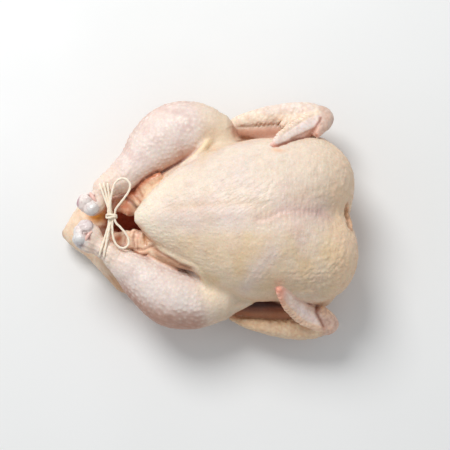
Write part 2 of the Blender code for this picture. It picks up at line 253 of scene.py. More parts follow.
# ------------------------------------------------------------- distance fields
class Grid:
    """A box of evenly spaced points that holds signed distances, cut off at band cells."""

    def __init__(self, low, high, cell, band):
        self.cell, self.band = cell, band
        self.low = np.floor(np.array(low) / cell).astype(int)
        self.count = np.ceil(np.array(high) / cell).astype(int) - self.low + 1
        self.x, self.y, self.z = (
            ((np.arange(self.count[k]) + self.low[k]) * cell).reshape([-1 if j == k else 1 for j in range(3)])
            for k in range(3))

    def field(self, shape):
        pts, quads, tris = shape
        grid = openvdb.FloatGrid.createLevelSetFromPolygons(
            np.ascontiguousarray(pts, np.float32), triangles=np.ascontiguousarray(tris, np.uint32),
            quads=np.ascontiguousarray(quads, np.uint32),
            transform=openvdb.createLinearTransform(self.cell), halfWidth=self.band)
        out = np.empty(self.count, np.float32)
        grid.copyToArray(out, ijk=tuple(int(v) for v in self.low))
        return out

    def surface(self, solid):
        """Points and outward quads where the distance is nought."""
        edge = 3.0 * self.cell
        grid = openvdb.FloatGrid(edge)
        grid.transform = openvdb.createLinearTransform(self.cell)
        grid.copyFromArray(np.clip(solid, -edge, edge).astype(np.float32), ijk=tuple(int(v) for v in self.low),
                           tolerance=0.001)
        pts, tris, quads = grid.convertToPolygons(0.0, 0.0)
        pts, quads = np.asarray(pts, float), np.asarray(quads, np.int64)
        n = np.cross(pts[quads[:, 2]] - pts[quads[:, 0]], pts[quads[:, 3]] - pts[quads[:, 1]])
        if (n * (pts[quads[:, 0]] - pts.mean(0))).sum() < 0:
            quads = quads[:, ::-1]
        return pts, quads

    def sample(self, values, p):
        """The values at any points, between the grid's own."""
        q = np.clip(p / self.cell - self.low, 0, self.count - 1.001)
        c = np.floor(q).astype(np.int64)
        f = q - c
        out = 0.0
        for dx in (0, 1):
            for dy in (0, 1):
                for dz in (0, 1):
                    w = ((f[:, 0] if dx else 1 - f[:, 0]) * (f[:, 1] if dy else 1 - f[:, 1])
                         * (f[:, 2] if dz else 1 - f[:, 2]))
                    out = out + w * values[c[:, 0] + dx, c[:, 1] + dy, c[:, 2] + dz]
        return out


bird = Grid((-164, -114, -14), (128, 116, 128), 1.0, 15)
field, sample = bird.field, bird.sample


def join(a, b, k):
    """Union of two fields, rounded over k."""
    h = np.maximum(k - np.abs(a - b), 0) / k
    return np.minimum(a, b) - h * h * k * 0.25


def cut(a, b, k):
    """a without b, its rim rounded over k."""
    return -join(-a, b, k)


W, T, TIP, A, F = 72.5, 115.5, -80.0, 66.0, 18.0
BREAST = [
    (TIP + 2, -5, 6, 68, 72, 77), (TIP + 9, -13, 17, 57, 68, 84), (TIP + 18, -22, 27, 48, 64, 89),
    (TIP + 40, -37, 47, 30, 60, T - 18), (TIP + 66, -57, 61, 8, 56, T - 9), (TIP + 98, -W + 1, W - 2, -3, 53, T - 2),
    (TIP + 124, -W, W, -4, 52, T), (TIP + 147, -W - 1, W - 3, -3, 52, T - 4), (TIP + 164, -W + 2, W - 5, 3, 53, T - 14),
    (TIP + 176, -W + 14, W - 16, 13, 55, T - 27), (TIP + 183, -W + 30, W - 30, 26, 58, T - 41)]
PELVIS = [
    (-147.5, -14, -5, 12, 18, 24), (-139, -23, 10, 7, 18, 29), (-127, -31, 24, 3, 17, 31), (-112, -46, 34, 0, 16, 32),
    (-96, -62, 45, -2, 16, 34), (-78, -66, 56, -3, 18, 38), (-55, -62, 60, -4, 22, 46), (-25, -56, 56, -4, 28, 60),
    (5, -50, 50, -4, 30, 66)]
RIGHT_DRUMSTICK = [
    (-107.8, 26.2, A - 1, 10.2, 10.2), (-100, 32.3, A - 3, 12.1, 12), (-92.3, 36.8, A - 5, 14.3, 14.2),
    (-82.7, 45.3, A - 7, 16.2, 16.5), (-75.7, 51.9, A - 9, 18.9, 19.5), (-64.9, 63.7, A - 12, 24, 24),
    (-50.1, 75.5, A - 16, 27.8, 27.5), (-36, 80.5, A - 17, 27, 27), (-21.5, 82, A - 19, 23.4, 24.5),
    (-7, 79.5, A - 21, 17.5, 20)]
LEFT_DRUMSTICK = [
    (-106.9, -26.4, A - 1, 9.3, 9.3), (-101.3, -30.8, A - 2, 9.7, 9.8), (-95.2, -36, A - 4, 11.2, 11.2),
    (-84.8, -42.9, A - 7, 15.7, 15.7), (-76.1, -49.3, A - 10, 20.2, 20), (-64.2, -57.6, A - 13, 24, 24),
    (-48.2, -67.5, A - 16, 27.3, 27), (-34.3, -70.6, A - 18, 26.8, 26.5), (-20, -71.8, A - 20, 24, 24.5),
    (-5, -71.5, A - 21, 17, 20)]
RIGHT_THIGH = [(-84, 34, 22, 14, 15), (-62, 44, 25, 22, 21), (-38, 55, 30, 27, 27), (-14, 63, 37, 25, 27),
               (2, 64, 45, 17, 21)]
LEFT_THIGH = [(-84, -38, 22, 14, 15), (-62, -46, 25, 22, 21), (-38, -54, 30, 27, 27), (-14, -60, 37, 25, 27),
              (5, -61, 45, 19, 21)]
RIGHT_FLAP = [(-42, 36, 54, 12, 12), (-68, 27, 48, 11, 11), (-88, 19, 41, 9, 9), (-106, 12, 33, 7, 8),
              (-118, 7, 26, 5, 6)]
LEFT_FLAP = [(-42, -34, 54, 12, 12), (-70, -25, 48, 11, 11), (-88, -17, 41, 9, 9), (-104, -12, 33, 7, 8),
             (-116, -8, 26, 5, 6)]
RIGHT_UPPER_ARM = [(82, 56, 38, 20, 22), (62, 67, 31, 15, 17), (38, 75, 26, 12, 13), (12, 84, 26, 8, 10)]
RIGHT_FOREARM = [(7, 88.5, 34, 4.5, 8), (16.4, 91, 37, 6.8, 10.5), (33.6, 94, 39, 8.6, 12.5),
                 (53.5, 96.6, 40, 9.7, 12.5), (73.3, 96.8, 43, 10.1, 12), (89, 92, 46, 9.9, 10)]
RIGHT_TIP = [(87, 90, 51, 9.8, 7.5), (76.8, 85, 58, 10.4, 5.8), (67.4, 79.5, 65, 9.7, 4.8), (59, 73.9, 74, 8.6, 4.2),
             (50.6, 68.1, 82, 6.8, 3.6), (44.3, 63.2, 88, 4.3, 3), (41.8, 61.1, 90, 2.6, 2.4)]
RIGHT_THUMB = [(89.8, 91.0, 53, 7.2, 6.4), (87.4, 86.0, 58.5, 6.8, 5.8), (83.6, 80.5, 62.6, 5.6, 4.8), (80.8, 75.6, 64.4, 4.2, 3.8)]
RIGHT_WEB = [(82, 91, 49, 7, 7), (66, 87.5, 51, 7, 5), (53, 84, 54, 5, 4.5)]
LEFT_UPPER_ARM = [(82, -58, 38, 20, 22), (62, -67, 31, 15, 16), (38, -74, 25, 11, 12), (15, -80, 24, 7, 10)]
LEFT_FOREARM = [(6, -86.0, 27, 2.6, 5.5), (14, -89.6, 29, 3.8, 8), (22, -92.0, 31, 4.8, 9.5), (31.5, -94.0, 32.5, 5.6, 11),
                (41.3, -95.6, 33, 6.7, 12), (57.4, -97.2, 34, 8.2, 12.5), (74.4, -96.6, 36, 9.6, 12), (91, -91.5, 41, 9.6, 10)]
LEFT_TIP = [(87, -88.9, 47, 9.8, 7.5), (76.1, -86.2, 54, 10.2, 5.8), (68.2, -82.6, 61, 9.9, 4.8),
            (61.2, -77.1, 69, 9.2, 4.2), (55.1, -72.5, 77, 7.7, 3.8), (50, -67.2, 85, 5.4, 3.4), (46.8, -63, 90, 3.4, 3)]
LEFT_THUMB = [(95.0, -93.0, 44, 6.6, 6.0), (92.6, -88.0, 49.5, 5.8, 5.2), (89.0, -83.0, 54.5, 4.6, 4.2), (86.2, -79.4, 57.6, 3.2, 3.0)]
LEFT_WEB = [(82, -92, 45, 7, 7), (69, -91.5, 43, 5.5, 5), (60, -91.5, 41, 4, 4)]
CAVITY = [
    (-106, -4, 6, F + 12, 48, 75), (-98, -8, 9, F + 6, 46, 72), (-86, -11, 11, F + 3, 42, 67),
    (-70, -17, 17, F + 1, 40, 64), (-48, -25, 26, F, 42, 68), (-18, -33, 33, F, 45, 73), (14, -33, 33, F, 46, 75),
    (42, -26, 26, F + 4, 47, 73), (58, -15, 15, F + 12, 48, 66)]

breast = field(barrel(BREAST))
breast = join(breast, field(ball((78, 33, 64), (36, 36.5, 42))), 12)
breast = join(breast, field(ball((81, -32, 62), (36.3, 40, 42))), 12)
breast = join(breast, field(limb([(-64, -28, 62, 4, 5), (-56, -31, 65.5, 5.6, 6), (-47.7, -34, 68, 6, 6), (-38, -38, 70, 6, 6),
                                  (-28, -41, 72, 5, 5)])), 6)
back = field(barrel(PELVIS, power=2.2))
for table in (RIGHT_THIGH, LEFT_THIGH):
    back = join(back, field(limb(table)), 10)
flaps = join(field(limb(RIGHT_FLAP)), field(limb(LEFT_FLAP)), 1)
body = join(join(breast, back, 8), flaps, 5)
grip = (1.6 + 11.5 * step(-36, -4, bird.x)
        + 4.4 * step(-74, -62, bird.x) * step(-36, -44, bird.x) * step(-16, -26, bird.y)).astype(np.float32)
legs = []
for table, hock in ((RIGHT_DRUMSTICK, ((-116.4, 12.6, A - 0.4), (11.9, 10.8, 9.3))),
                    (LEFT_DRUMSTICK, ((-119.8, -16.8, A - 0.8), (12.9, 13.5, 10.3)))):
    leg = join(field(limb(table)), field(ball(*hock)), 5)
    legs.append(leg)
    body = join(body, leg, grip)
# taut webs of skin where the knees meet the breast
FOLDS = [
    [(-36, 46, 72.5, 1.1, 2.2), (-29.5, 51.0, 74.4, 1.4, 2.6), (-24.5, 55.5, 74.2, 1.4, 2.6),
     (-19.5, 61.5, 71.8, 1.3, 2.4), (-15, 68.0, 67.0, 1.1, 2.0), (-11, 73, 62.5, 0.9, 1.5)],
    [(-36.0, -38.6, 74.0, 1.1, 2.2), (-30.5, -40.3, 78.0, 1.4, 2.6), (-25.5, -43.0, 80.4, 1.5, 2.8),
     (-20.0, -48.0, 78.8, 1.5, 2.6), (-16.0, -55.0, 71.5, 1.3, 2.2), (-13, -61, 66.0, 1.0, 1.6)]]
for fold in FOLDS:
    under = [(a, b, c - 3.2, d * 2.2, e * 1.5) for a, b, c, d, e in fold]
    body = join(join(body, field(limb(under)), 5), field(limb(fold)), 2.4)
body = join(body, field(limb([(-6, -71.5, 50, 6, 8), (5, -75.5, 49.5, 5, 7), (13.5, -76.0, 50.5, 3.8, 6.5), (21.5, -72.5, 52.5, 3.2, 5.5)])), 5)
wings = []
for side, (arm, forearm, tip, thumb, web) in enumerate((
        (RIGHT_UPPER_ARM, RIGHT_FOREARM, RIGHT_TIP, RIGHT_THUMB, RIGHT_WEB),
        (LEFT_UPPER_ARM, LEFT_FOREARM, LEFT_TIP, LEFT_THUMB, LEFT_WEB))):
    body = join(body, field(limb(arm)), 9)
    # the thin skin between forearm and upper arm closes the fold of the wing
    sign = (1, -1)[side]
    webbing = [(12, 84 * sign, 38 - 12 * side, 5, 4), (30, (82.5 + 2 * side) * sign, 41.5 - 13 * side, 8, 4.5),
               (52, (82.5 + 2 * side) * sign, 42 - 13 * side, 9, 5), (76, 85 * sign, 42 - 9 * side, 9, 6.5)]
    body = join(body, field(limb(webbing)), 4)
    hand = join(field(limb(tip, power=2.4)), field(limb(thumb)), 0.5)
    wing = join(field(limb(forearm, power=2.9)), field(limb(web)), 3)
    wing = join(wing, hand, 1.6 + 4.5 * step(74, 88, bird.x))
    wings.append((wing, hand))
    body = join(body, wing, 1.8)
hollow = field(barrel(CAVITY, power=2.1))
body = cut(body, hollow, 3)
# flaps of belly skin that hang over the mouth of the cavity
lips = field(limb([(-104, 15.5, 40, 4, 5), (-97, 15.5, 45, 6.6, 6), (-90, 14.5, 50, 8.5, 6), (-84, 14, 53, 10.3, 6.4),
                   (-77, 19, 56, 9.6, 6), (-68, 26, 59, 8, 6), (-60, 32, 61, 6, 5.5)], power=2.5))
for lobe, k in (([(-83, 22.5, 57, 3.4, 4), (-79, 17.5, 59.6, 3.6, 4.2), (-75.5, 12.5, 61, 2.8, 3.8)], 2.4),
                ([(-75, 28, 60, 4.2, 4.6), (-67, 33, 63, 4.4, 4.6), (-58, 38, 64, 3.5, 4)], 2.6),
                ([(-95, 13.5, 48.4, 3.2, 3.6), (-90, 9.8, 52.4, 3.4, 3.6), (-85, 6.2, 55.6, 3.0, 3.4)], 2.4)):
    lips = join(lips, field(limb(lobe)), k)
lower = field(limb([(-103, -17.5, 42, 4.5, 5), (-97, -18, 47, 6.2, 5.5), (-90, -18, 52, 7.3, 6), (-82, -18, 55, 8.6, 6),
                    (-75, -19, 57, 9.2, 6), (-68, -22, 58.5, 7, 5.5), (-62, -24.5, 60, 3.5, 4)], power=2.6))
for lobe, k in (([(-86, -22, 55.5, 3.2, 4), (-82, -15.5, 58.6, 3.6, 4.2), (-80, -10.8, 58.8, 2.8, 4)], 2.2),
                ([(-77, -25, 57.5, 4, 4.4), (-74.4, -18, 60.6, 4.2, 4.4), (-73.6, -12.8, 61, 3, 4)], 2.2),
                ([(-97, -15.5, 49.6, 3.6, 3.6), (-92, -13.8, 53, 3.6, 3.8), (-88, -12.4, 55, 3.0, 3.6)], 2.4),
                ([(-70, -24.5, 60.0, 3.4, 4), (-66.4, -22.5, 61.6, 3.6, 4), (-62.5, -22.5, 62, 2.6, 3.6)], 2.0),
                ([(-79, -29.2, 60.0, 2.0, 2.2), (-72, -29.4, 62.0, 2.4, 2.4), (-63.5, -26.2, 63.6, 2.0, 2.2)], 0.8)):
    lower = join(lower, field(limb(lobe)), k)
lips = join(lips, lower, 1.0)
trunk = join(join(join(breast, back, 8), flaps, 5), lips, 1.2)
body = join(body, lips, 1.2)
neck = field(ball((119, -2.5, 58), (14, 10, 17)))
body = cut(body, neck, 3)
# skin folded over the neck opening
folds = field(limb([(104.0, 14.0, 77, 2.0, 3), (106.4, 9.0, 75, 2.5, 4), (106.2, 4.6, 73.5, 2.5, 4), (106.8, 1.0, 72.5, 1.8, 3.5)]))
for fold in ([(107.6, 3.0, 70, 1.5, 4), (108.8, -2.0, 70, 1.9, 4), (109.8, -7.0, 71, 1.9, 4), (109.2, -12.0, 73, 1.8, 4)],
             [(103.8, -4.6, 76.5, 1.3, 3.5), (106.6, -7.2, 75.0, 1.5, 4), (109.6, -9.8, 73.5, 1.5, 4)],
             [(103.6, -10.2, 77.0, 1.4, 3.5), (105.4, -12.4, 76.5, 1.7, 4), (107.6, -14.6, 76.8, 1.6, 4)]):
    folds = join(folds, field(limb(fold)), 0.4)
body = join(body, folds, 0.6)
# the cut ends of the shin bones stand out of their cuffs of skin
JOINTS = [
    [((-117.2, 8.8, 70.1), (4.9, 4.7, 6.1)), ((-120.9, 15.8, 68.8), (3.8, 4.8, 6.2)), ((-124.4, 13.6, 67.4), (3.6, 5.4, 6.4))],
    [((-122.2, -8.2, 69.2), (4.9, 4.9, 6.4)), ((-126.8, -12.6, 68.0), (4.0, 5.2, 6.2)), ((-126.6, -18.0, 68.6), (4.9, 5.8, 7.0))]]
stumps = None
for lumps in JOINTS:
    for lump in lumps:
        lump = field(ball(*lump))
        stumps = lump if stumps is None else join(stumps, lump, 1.2)
body = cut(body, (bird.z + 0 * bird.x + 0 * bird.y).astype(np.float32), 2.5)


def facing(pts, quads):
    """Unit normals at points of a quad mesh."""
    n = np.cross(pts[quads[:, 2]] - pts[quads[:, 0]], pts[quads[:, 3]] - pts[quads[:, 1]])
    out = np.zeros_like(pts)
    for k in range(4):
        for axis in range(3):
            out[:, axis] += np.bincount(quads[:, k], n[:, axis], len(pts))
    return unit_of(out)


P, quads = bird.surface(body)
N = facing(P, quads)

# ---------------------------------------------------------------- skin relief
DRUMS = [catmull(RIGHT_DRUMSTICK, 4), catmull(LEFT_DRUMSTICK, 4)]
FOREARMS = [catmull(RIGHT_FOREARM, 4), catmull(LEFT_FOREARM, 4)]
TIPS = [catmull(RIGHT_TIP, 4), catmull(LEFT_TIP, 4)]


def masks(p):
    """How far each point belongs to each region, 0 to 1."""
    m = {}
    m["floor"] = step(1.5, 0.2, p[:, 2])
    m["lips"] = step(1.6, 0.5, sample(lips, p))
    m["stump"] = sample(stumps, p)
    m["hollow"] = step(3.0, 0.8, sample(hollow, p)) * step(-110, -102, p[:, 0]) * (1 - m["lips"])
    m["legs"] = [step(3.5, 1.0, sample(f, p)) * (1 - m["hollow"]) for f in legs]
    m["wings"] = [step(2.2, 0.6, sample(f, p)) for f, _ in wings]
    m["hands"] = [step(1.6, 0.6, sample(f, p)) for _, f in wings]
    m["breast"] = step(4.0, 0.8, sample(breast, p)) * (1 - m["hollow"])
    m["folds"] = step(1.6, 0.5, sample(folds, p))
    m["neck"] = step(3.5, 0.8, sample(neck, p)) * (1 - m["folds"])
    m["leg"] = np.maximum(*m["legs"])
    m["wing"] = np.maximum(*m["wings"])
    m["hand"] = np.maximum(*m["hands"])
    m["flaps"] = (step(2.5, 0.6, sample(flaps, p)) * (1 - m["hollow"]) * step(-44, -60, p[:, 0])
                  * (1 - m["leg"]) * (1 - m["breast"]))
    m["flaps"] = np.maximum(m["flaps"], m["lips"])
    m["only"] = m["breast"] * (1 - m["leg"]) * (1 - m["wing"]) * (1 - m["lips"])
    m["outer"] = (1 - m["hollow"]) * (1 - m["floor"])
    return m


def seam(p, a, b):
    """Distance from where two fields' surfaces meet."""
    return np.maximum(sample(a, p), 0) + np.maximum(sample(b, p), 0)


def around(p, line):
    """Along, about (an angle) and distance of points from a limb's axis."""
    d, s, foot = near(p, line[:, :3])
    away = p - foot
    way = unit_of(line[-1, :3] - line[0, :3])
    side = unit_of(np.cross([0, 0, 1.0], way))
    up = np.cross(way, side)
    return s, np.arctan2(away @ up, away @ side), d


def leg_dots(p, k):
    """Closeness to the pimples of drumstick k, which stand in rows across it."""
    s, turn, d = around(p, DRUMS[k])
    lean = s + 5.0 * np.cos(turn - 1.2) + 1.4 * noise(p, 16, 81 + k)
    return bell(dots(lean, turn * 24, 4.4, 4.9, 0.6, 11 + k), 0.30), s


def girth_of(p):
    return np.arctan2(p[:, 1], p[:, 2] - 45) * 68


def breast_dots(p):
    g = girth_of(p)
    return bell(dots(p[:, 0] * 0.82 - g * 0.57, p[:, 0] * 0.57 + g * 0.82, 4.1, 3.7, 0.8, 21), 0.30)


def strokes(p, angle, across, length, seed):
    """Noise drawn out along one direction of the breast, given in degrees."""
    a = math.radians(angle)
    g = girth_of(p)
    u = p[:, 0] * math.cos(a) + g * math.sin(a)
    v = -p[:, 0] * math.sin(a) + g * math.cos(a)
    bend = 0.8 * noise(p, 14, seed + 5)
    return noise(np.column_stack([u / length, v / across + bend * 0.6, p[:, 2] * 0 + seed]), 1.0, seed)


def wrinkle(p, size, seed, width=0.22):
    """1 along thin winding creases, 0 between them."""
    return bell(noise(p, size, seed), width)


def score(p, path, width):
    """1 along a line drawn from above, 0 away from it."""
    d, _, _ = near(p[:, :2], catmull(path, 4))
    return bell(d, width)


def on_hand(p, k):
    """Length from the wrist and share of the half width, outward, on wing tip k."""
    line = TIPS[k]
    d, s, foot = near(p, line[:, :3])
    side = unit_of(np.cross([0, 0, 1.0], line[-1, :3] - line[0, :3])) * (-1, 1)[k]
    run = np.concatenate([[0], np.cumsum(np.linalg.norm(np.diff(line[:, :3], axis=0), axis=1))])
    return s, ((p - foot) @ side) / np.interp(s, run, line[:, 3])


KEEL_LINE = [(-66, 2.4), (-52, 4.8), (-30, 7.8), (0, 8.9), (22, 9.2), (34, 9.0)]
NECK_LINE = [(28, -5.6), (33, -4.6), (38, -3.6), (42, -0.8), (47, 1.7), (55, 2.7), (67, 2.6), (79, 1.3), (88, -1.2), (96, -3.8)]
SKIRT_LINE = [(-61.5, -26.2), (-54.5, -31.4), (-46.6, -35.8), (-37.8, -41.2), (-30.5, -44.2)]
THUMB_LINES = [[(85, 90.5), (83.8, 87), (80.2, 81.8), (77.6, 77.4), (77.0, 72.5)],
               [(81.2, -76.5), (80.8, -80), (81.4, -84), (84.4, -89.4), (87.2, -95)]]
ARM_LINES = [[(66, 84.5), (72, 89.5), (80, 93.5)], [(60, -90.2), (66, -91.0), (71, -91.8), (78.4, -95.6)]]
MORE_LINES = [[(56, 97), (62, 92.5), (67, 88.5)], [(63.5, -94.6), (70, -95.4), (76.4, -97.3)]]

m = masks(P)
outer, only = m["outer"], m["only"]
x, y, z = P.T
up = step(-0.1, 0.4, N[:, 2])
rise = outer * (0.50 * noise(P, 32, 3) + 0.20 * noise(P, 13, 5))
for k in (0, 1):
    leg = m["legs"][k] * outer * step(1.5, 4.0, m["stump"])
    peak, s = leg_dots(P, k)
    under = step((-0.20, -0.10)[k], (-0.75, -0.60)[k], N[:, 1]) * step(18, 40, s)
    rise += leg * 0.62 * peak * (0.70 + 0.5 * noise(P, 22, 14)) * step(6, 18, s) * (1 - 0.45 * under)
    # loose skin gathers towards the ankle
    s, turn, d = around(P, DRUMS[k])
    gather = np.column_stack([s / 16, turn * 5.0, 0 * s])
    rise += leg * 0.50 * noise(gather, 1.0, 17 + k) * step(44, 12, s)
    rise -= leg * 0.60 * wrinkle(np.column_stack([s / 3.4, turn * 1.6, 0 * s]), 1.0, 19 + k) * step(30, 4, s)
# a collar of skin round each cut bone
rise += m["leg"] * outer * 0.55 * bell(m["stump"] - 1.6, 1.0)
# zones of the breast: slanting strokes, level ones, and upright ones at the neck
left = step(62, 30, x)
upper = step(-12, 10, y)
upright = step(30, 70, x)
rise += only * outer * 0.22 * breast_dots(P) * (0.4 + 0.6 * step(20, 60, x))
rise += only * outer * 0.24 * noise(P, 3.1, 36, 2)
rise += only * outer * left * upper * 0.27 * strokes(P, 30, 2.7, 9, 31) * (0.4 + 0.6 * step(62, 36, y))
rise += only * outer * left * (1 - upper) * 0.25 * strokes(P, -6, 2.6, 7.5, 32) * (0.30 + 0.70 * step(0, -40, x))
rise += only * outer * left * (1 - upper) * 0.22 * noise(P, 2.5, 37, 2)
rise += only * outer * upright * step(-44, -20, y) * 0.18 * strokes(P, 88, 2.8, 11, 33)
rise += only * outer * step(50, 84, x) * 0.46 * noise(P, 4.8, 34, 2)
net = only * outer * step(44, 74, x) * step(-18, -44, y)
rise += net * (0.30 - 0.60 * wrinkle(P, 5.0, 35, 0.30))
for shift in (0.0, 4.4, 9.2):
    streak = [(19 + shift, -58 + shift / 4), (26 + shift, -48), (33 + shift, -40), (40 + shift * 1.2, -32)]
    rise += only * outer * 0.30 * score(P, streak, 1.5)
# keel: a low ridge with a soft crease beside it, then a valley towards the neck
top = step(0.3, 0.8, N[:, 2]) * only
rise += top * 1.3 * bell(y - 0.5, 7.5) * step(-76, -55, x) * step(36, 10, x)
rise -= top * 0.38 * score(P, KEEL_LINE, 3.6) * step(-64, -44, x) * step(34, 20, x)
rise -= top * 2.4 * bell(y - 1.5, 11.0) * step(14, 44, x)
rise -= top * 0.48 * score(P, NECK_LINE, 2.2) * step(96, 80, x)
rise += top * 0.55 * score(P, [(a, b - 3.6) for a, b in NECK_LINE], 2.2) * step(26, 34, x) * step(60, 44, x)
rise += top * 0.16 * np.cos(x * 2 * np.pi / 4.2 + 2 * noise(P, 10, 44)) * bell(y - 1, 9) * step(14, 30, x) * step(92, 70, x)
# wings
for k, sign in ((0, 1), (1, -1)):
    s, turn, d = around(P, FOREARMS[k])
    hand = m["hands"][k] * outer
    arm = m["wings"][k] * outer * (1 - m["hands"][k])
    edge = y * sign - 85.0
    wave = 1.6 * np.abs(np.sin((x - 0.8 * edge + 1.2 * noise(P, 14, 41)) * np.pi / 3.9)) - 0.9
    rise += arm * (0.85, 0.30)[k] * step(4.2, 1.2, edge) * step((22, 8)[k], (30, 14)[k], x) * step(72, 62, x) * wave
    long_wave = np.cos((x - 0.9 * edge + 2.0 * noise(P, 14, 42)) * 2 * np.pi / 6.4)
    rise += arm * 0.30 * step(10.5, 4.0, edge) * step(26, 40, x) * step(78, 66, x) * long_wave * up
    rise -= arm * up * 0.42 * wrinkle(P, 4.6, 45 + k, 0.30) * (0.35 + 0.65 * step(44, 56, x) * step(12.5, 8, edge))
    rise += arm * (0.22, 0.50)[k] * bell(dots(s, turn * 11, 3.7, 3.8, 0.8, 43 + k), 0.32)
    rise += m["wings"][k] * outer * 0.35 * noise(P, 7, 47 + k)
    for line, deep in ((ARM_LINES[k], 0.9), (MORE_LINES[k], 0.6)):
        rise -= m["wings"][k] * outer * up * deep * score(P, line, 1.1)
    # the wing tip: a ribbed rim, a pair of long hollows and the fold along its lower side
    s, c = on_hand(P, k)
    flat = hand * up
    rib = 1.6 * np.abs(np.sin(s * np.pi / 3.8 + noise(P, 8, 49))) - 0.9
    rise += hand * 0.55 * rib * step(0.55, 0.80, c) * step(10, 16, s)
    rise -= flat * 0.75 * bell(c - 0.42 - 0.10 * noise(P, 12, 55 + k), 0.13) * step(7, 14, s) * step(60, 50, s)
    rise += flat * 0.30 * noise(np.column_stack([s / 14, c * 3.2, 0 * s]), 1.0, 57 + k)
    if k == 0:
        rise -= flat * 1.5 * step(-0.34, -0.58, c) * step(4, 10, s) * step(52, 42, s)
    else:
        rise -= flat * 0.7 * bell(c + 0.55, 0.13) * step(6, 14, s) * step(50, 42, s)
        rise -= flat * 0.4 * bell(c + 0.05, 0.35)
    rise -= m["wings"][k] * outer * up * 1.5 * score(P, THUMB_LINES[k], 1.25)
    rise -= hand * 0.16 * wrinkle(P, 5.0, 59 + k, 0.28)
# the skin dips where a wing tip lies on the breast
for k in (0, 1):
    s, c = on_hand(P, k)
    rise -= outer * (0.9, 0.6)[k] * bell(seam(P, wings[k][1], breast) - 0.4, 1.3) * step(0.4, -0.2, c) * (1, step(42, 26, s))[k]
# a deep fold runs where each leg lies against the trunk
for k in (0, 1):
    rise -= (outer * (0.9, 0.6)[k] * bell(seam(P, legs[k], trunk) - 0.4, 1.4) * step(-30, -42, x) * step(-112, -100, x) * step(40, 50, z)
             * (1, 1 - 0.9 * step(-70, -62, x))[k])
rise -= outer * up * 1.0 * score(P, SKIRT_LINE, 1.3) * (1 - m["leg"])
# loose flesh beside the cavity and inside it
flesh = np.column_stack([x / 5.5, y / 5.5, z / 9])
rise += m["flaps"] * (0.50 * noise(P, 9, 51, 2) - 0.34 * wrinkle(flesh, 1.0, 52, 0.26) + 0.14 * noise(P, 3.4, 56))
CRACKS = [([(-88.6, 19.6), (-87.4, 18.4), (-84.8, 16.2), (-82.1, 14.0), (-78.5, 10.2)], 1.9, 1.3, (112, 44, 30)),
          ([(-82.0, 27.0), (-80.4, 22.0), (-76.6, 17.6), (-74.0, 14.4)], 0.9, 1.1, (170, 92, 62)),
          ([(-77.5, 28.5), (-74.8, 24.0), (-72.8, 19.5)], 0.8, 1.1, (176, 104, 72)),
          ([(-80.0, -12.0), (-80.6, -15.0), (-81.0, -19.0), (-80.0, -24.0)], 1.1, 1.1, (168, 96, 66)),
          ([(-77.0, -10.0), (-76.6, -14.5), (-77.4, -19.5), (-77.0, -26.5)], 0.8, 1.0, (180, 112, 80)),
          ([(-71.4, -13.0), (-70.6, -17.5), (-69.4, -23.0)], 1.1, 1.2, (166, 98, 62)),
          ([(-89.0, -11.5), (-88.0, -15.5), (-89.0, -22.0)], 0.8, 1.1, (170, 92, 66)),
          ([(-78.5, -27.0), (-72, -27.2), (-64, -24.2)], 1.1, 0.9, (150, 84, 54))]
for path, deep, width, _ in CRACKS:
    rise -= m["flaps"] * 0.8 * deep * score(P, path, width)
rise += m["hollow"] * (1.0 * noise(P, 12, 53, 2))
rise += m["folds"] * 0.35 * noise(P, 4, 54, 2)
# the back and tail: slack, creased skin
rest = outer * (1 - np.maximum(only, np.maximum(m["leg"], m["wing"])))
low = step(50, 36, z)
slack = np.column_stack([(x + 0.4 * y) / 5, (y - 0.4 * x) / 12, z / 7])
rise += rest * low * (0.50 * noise(slack, 1.0, 61, 2) - 0.14 * wrinkle(slack, 1.0, 62) * step(-0.2, 0.5, noise(P, 16, 64)) + 0.24 * noise(P, 4, 63))
rise *= 1 - m["floor"]
P = P + N * rise[:, None]
P[:, 2] = np.maximum(P[:, 2], 0.0)
N = facing(P, quads)

# ------------------------------------------------------------------- materials
def linear(c):
    c = np.asarray(c, float) / 255
    return np.where(c <= 0.04045, c / 12.92, ((c + 0.055) / 1.055) ** 2.4)


def mesh_piece(name, pts, faces, mat, smooth=True):
    """An object in metres from pattern points."""
    mesh = bpy.data.meshes.new(name)
    faces = np.asarray(faces, np.int64)
    mesh.vertices.add(len(pts))
    mesh.vertices.foreach_set("co", ((np.asarray(pts) + PLACE) * UNIT).astype(np.float32).ravel())
    mesh.loops.add(faces.size)
    mesh.loops.foreach_set("vertex_index", faces.astype(np.int32).ravel())
    mesh.polygons.add(len(faces))
    mesh.polygons.foreach_set("loop_start", np.arange(0, faces.size, faces.shape[1], dtype=np.int32))
    mesh.update(calc_edges=True)
    mesh.validate()
    mesh.shade_smooth() if smooth else None
    obj = bpy.data.objects.new(name, mesh)
    scene.collection.objects.link(obj)
    if mat:
        mesh.materials.append(mat)
    return obj


def thinned(obj, keep, group=None):
    """The object's mesh decimated to a share of its faces."""
    mod = obj.modifiers.new("thin", "DECIMATE")
    mod.ratio = keep
    if group:
        mod.vertex_group = group
        mod.vertex_group_factor = 1.0
    bpy.context.view_layer.update()
    mesh = bpy.data.meshes.new_from_object(obj.evaluated_get(bpy.context.evaluated_depsgraph_get()))
    obj.modifiers.clear()
    old = obj.data
    obj.data = mesh
    bpy.data.meshes.remove(old)
    mesh.name = obj.name
    obj.vertex_groups.clear()
    return obj


def points_of(obj):
    co = np.empty(len(obj.data.vertices) * 3, np.float32)
    obj.data.vertices.foreach_get("co", co)
    return co.reshape(-1, 3).astype(float) / UNIT - PLACE


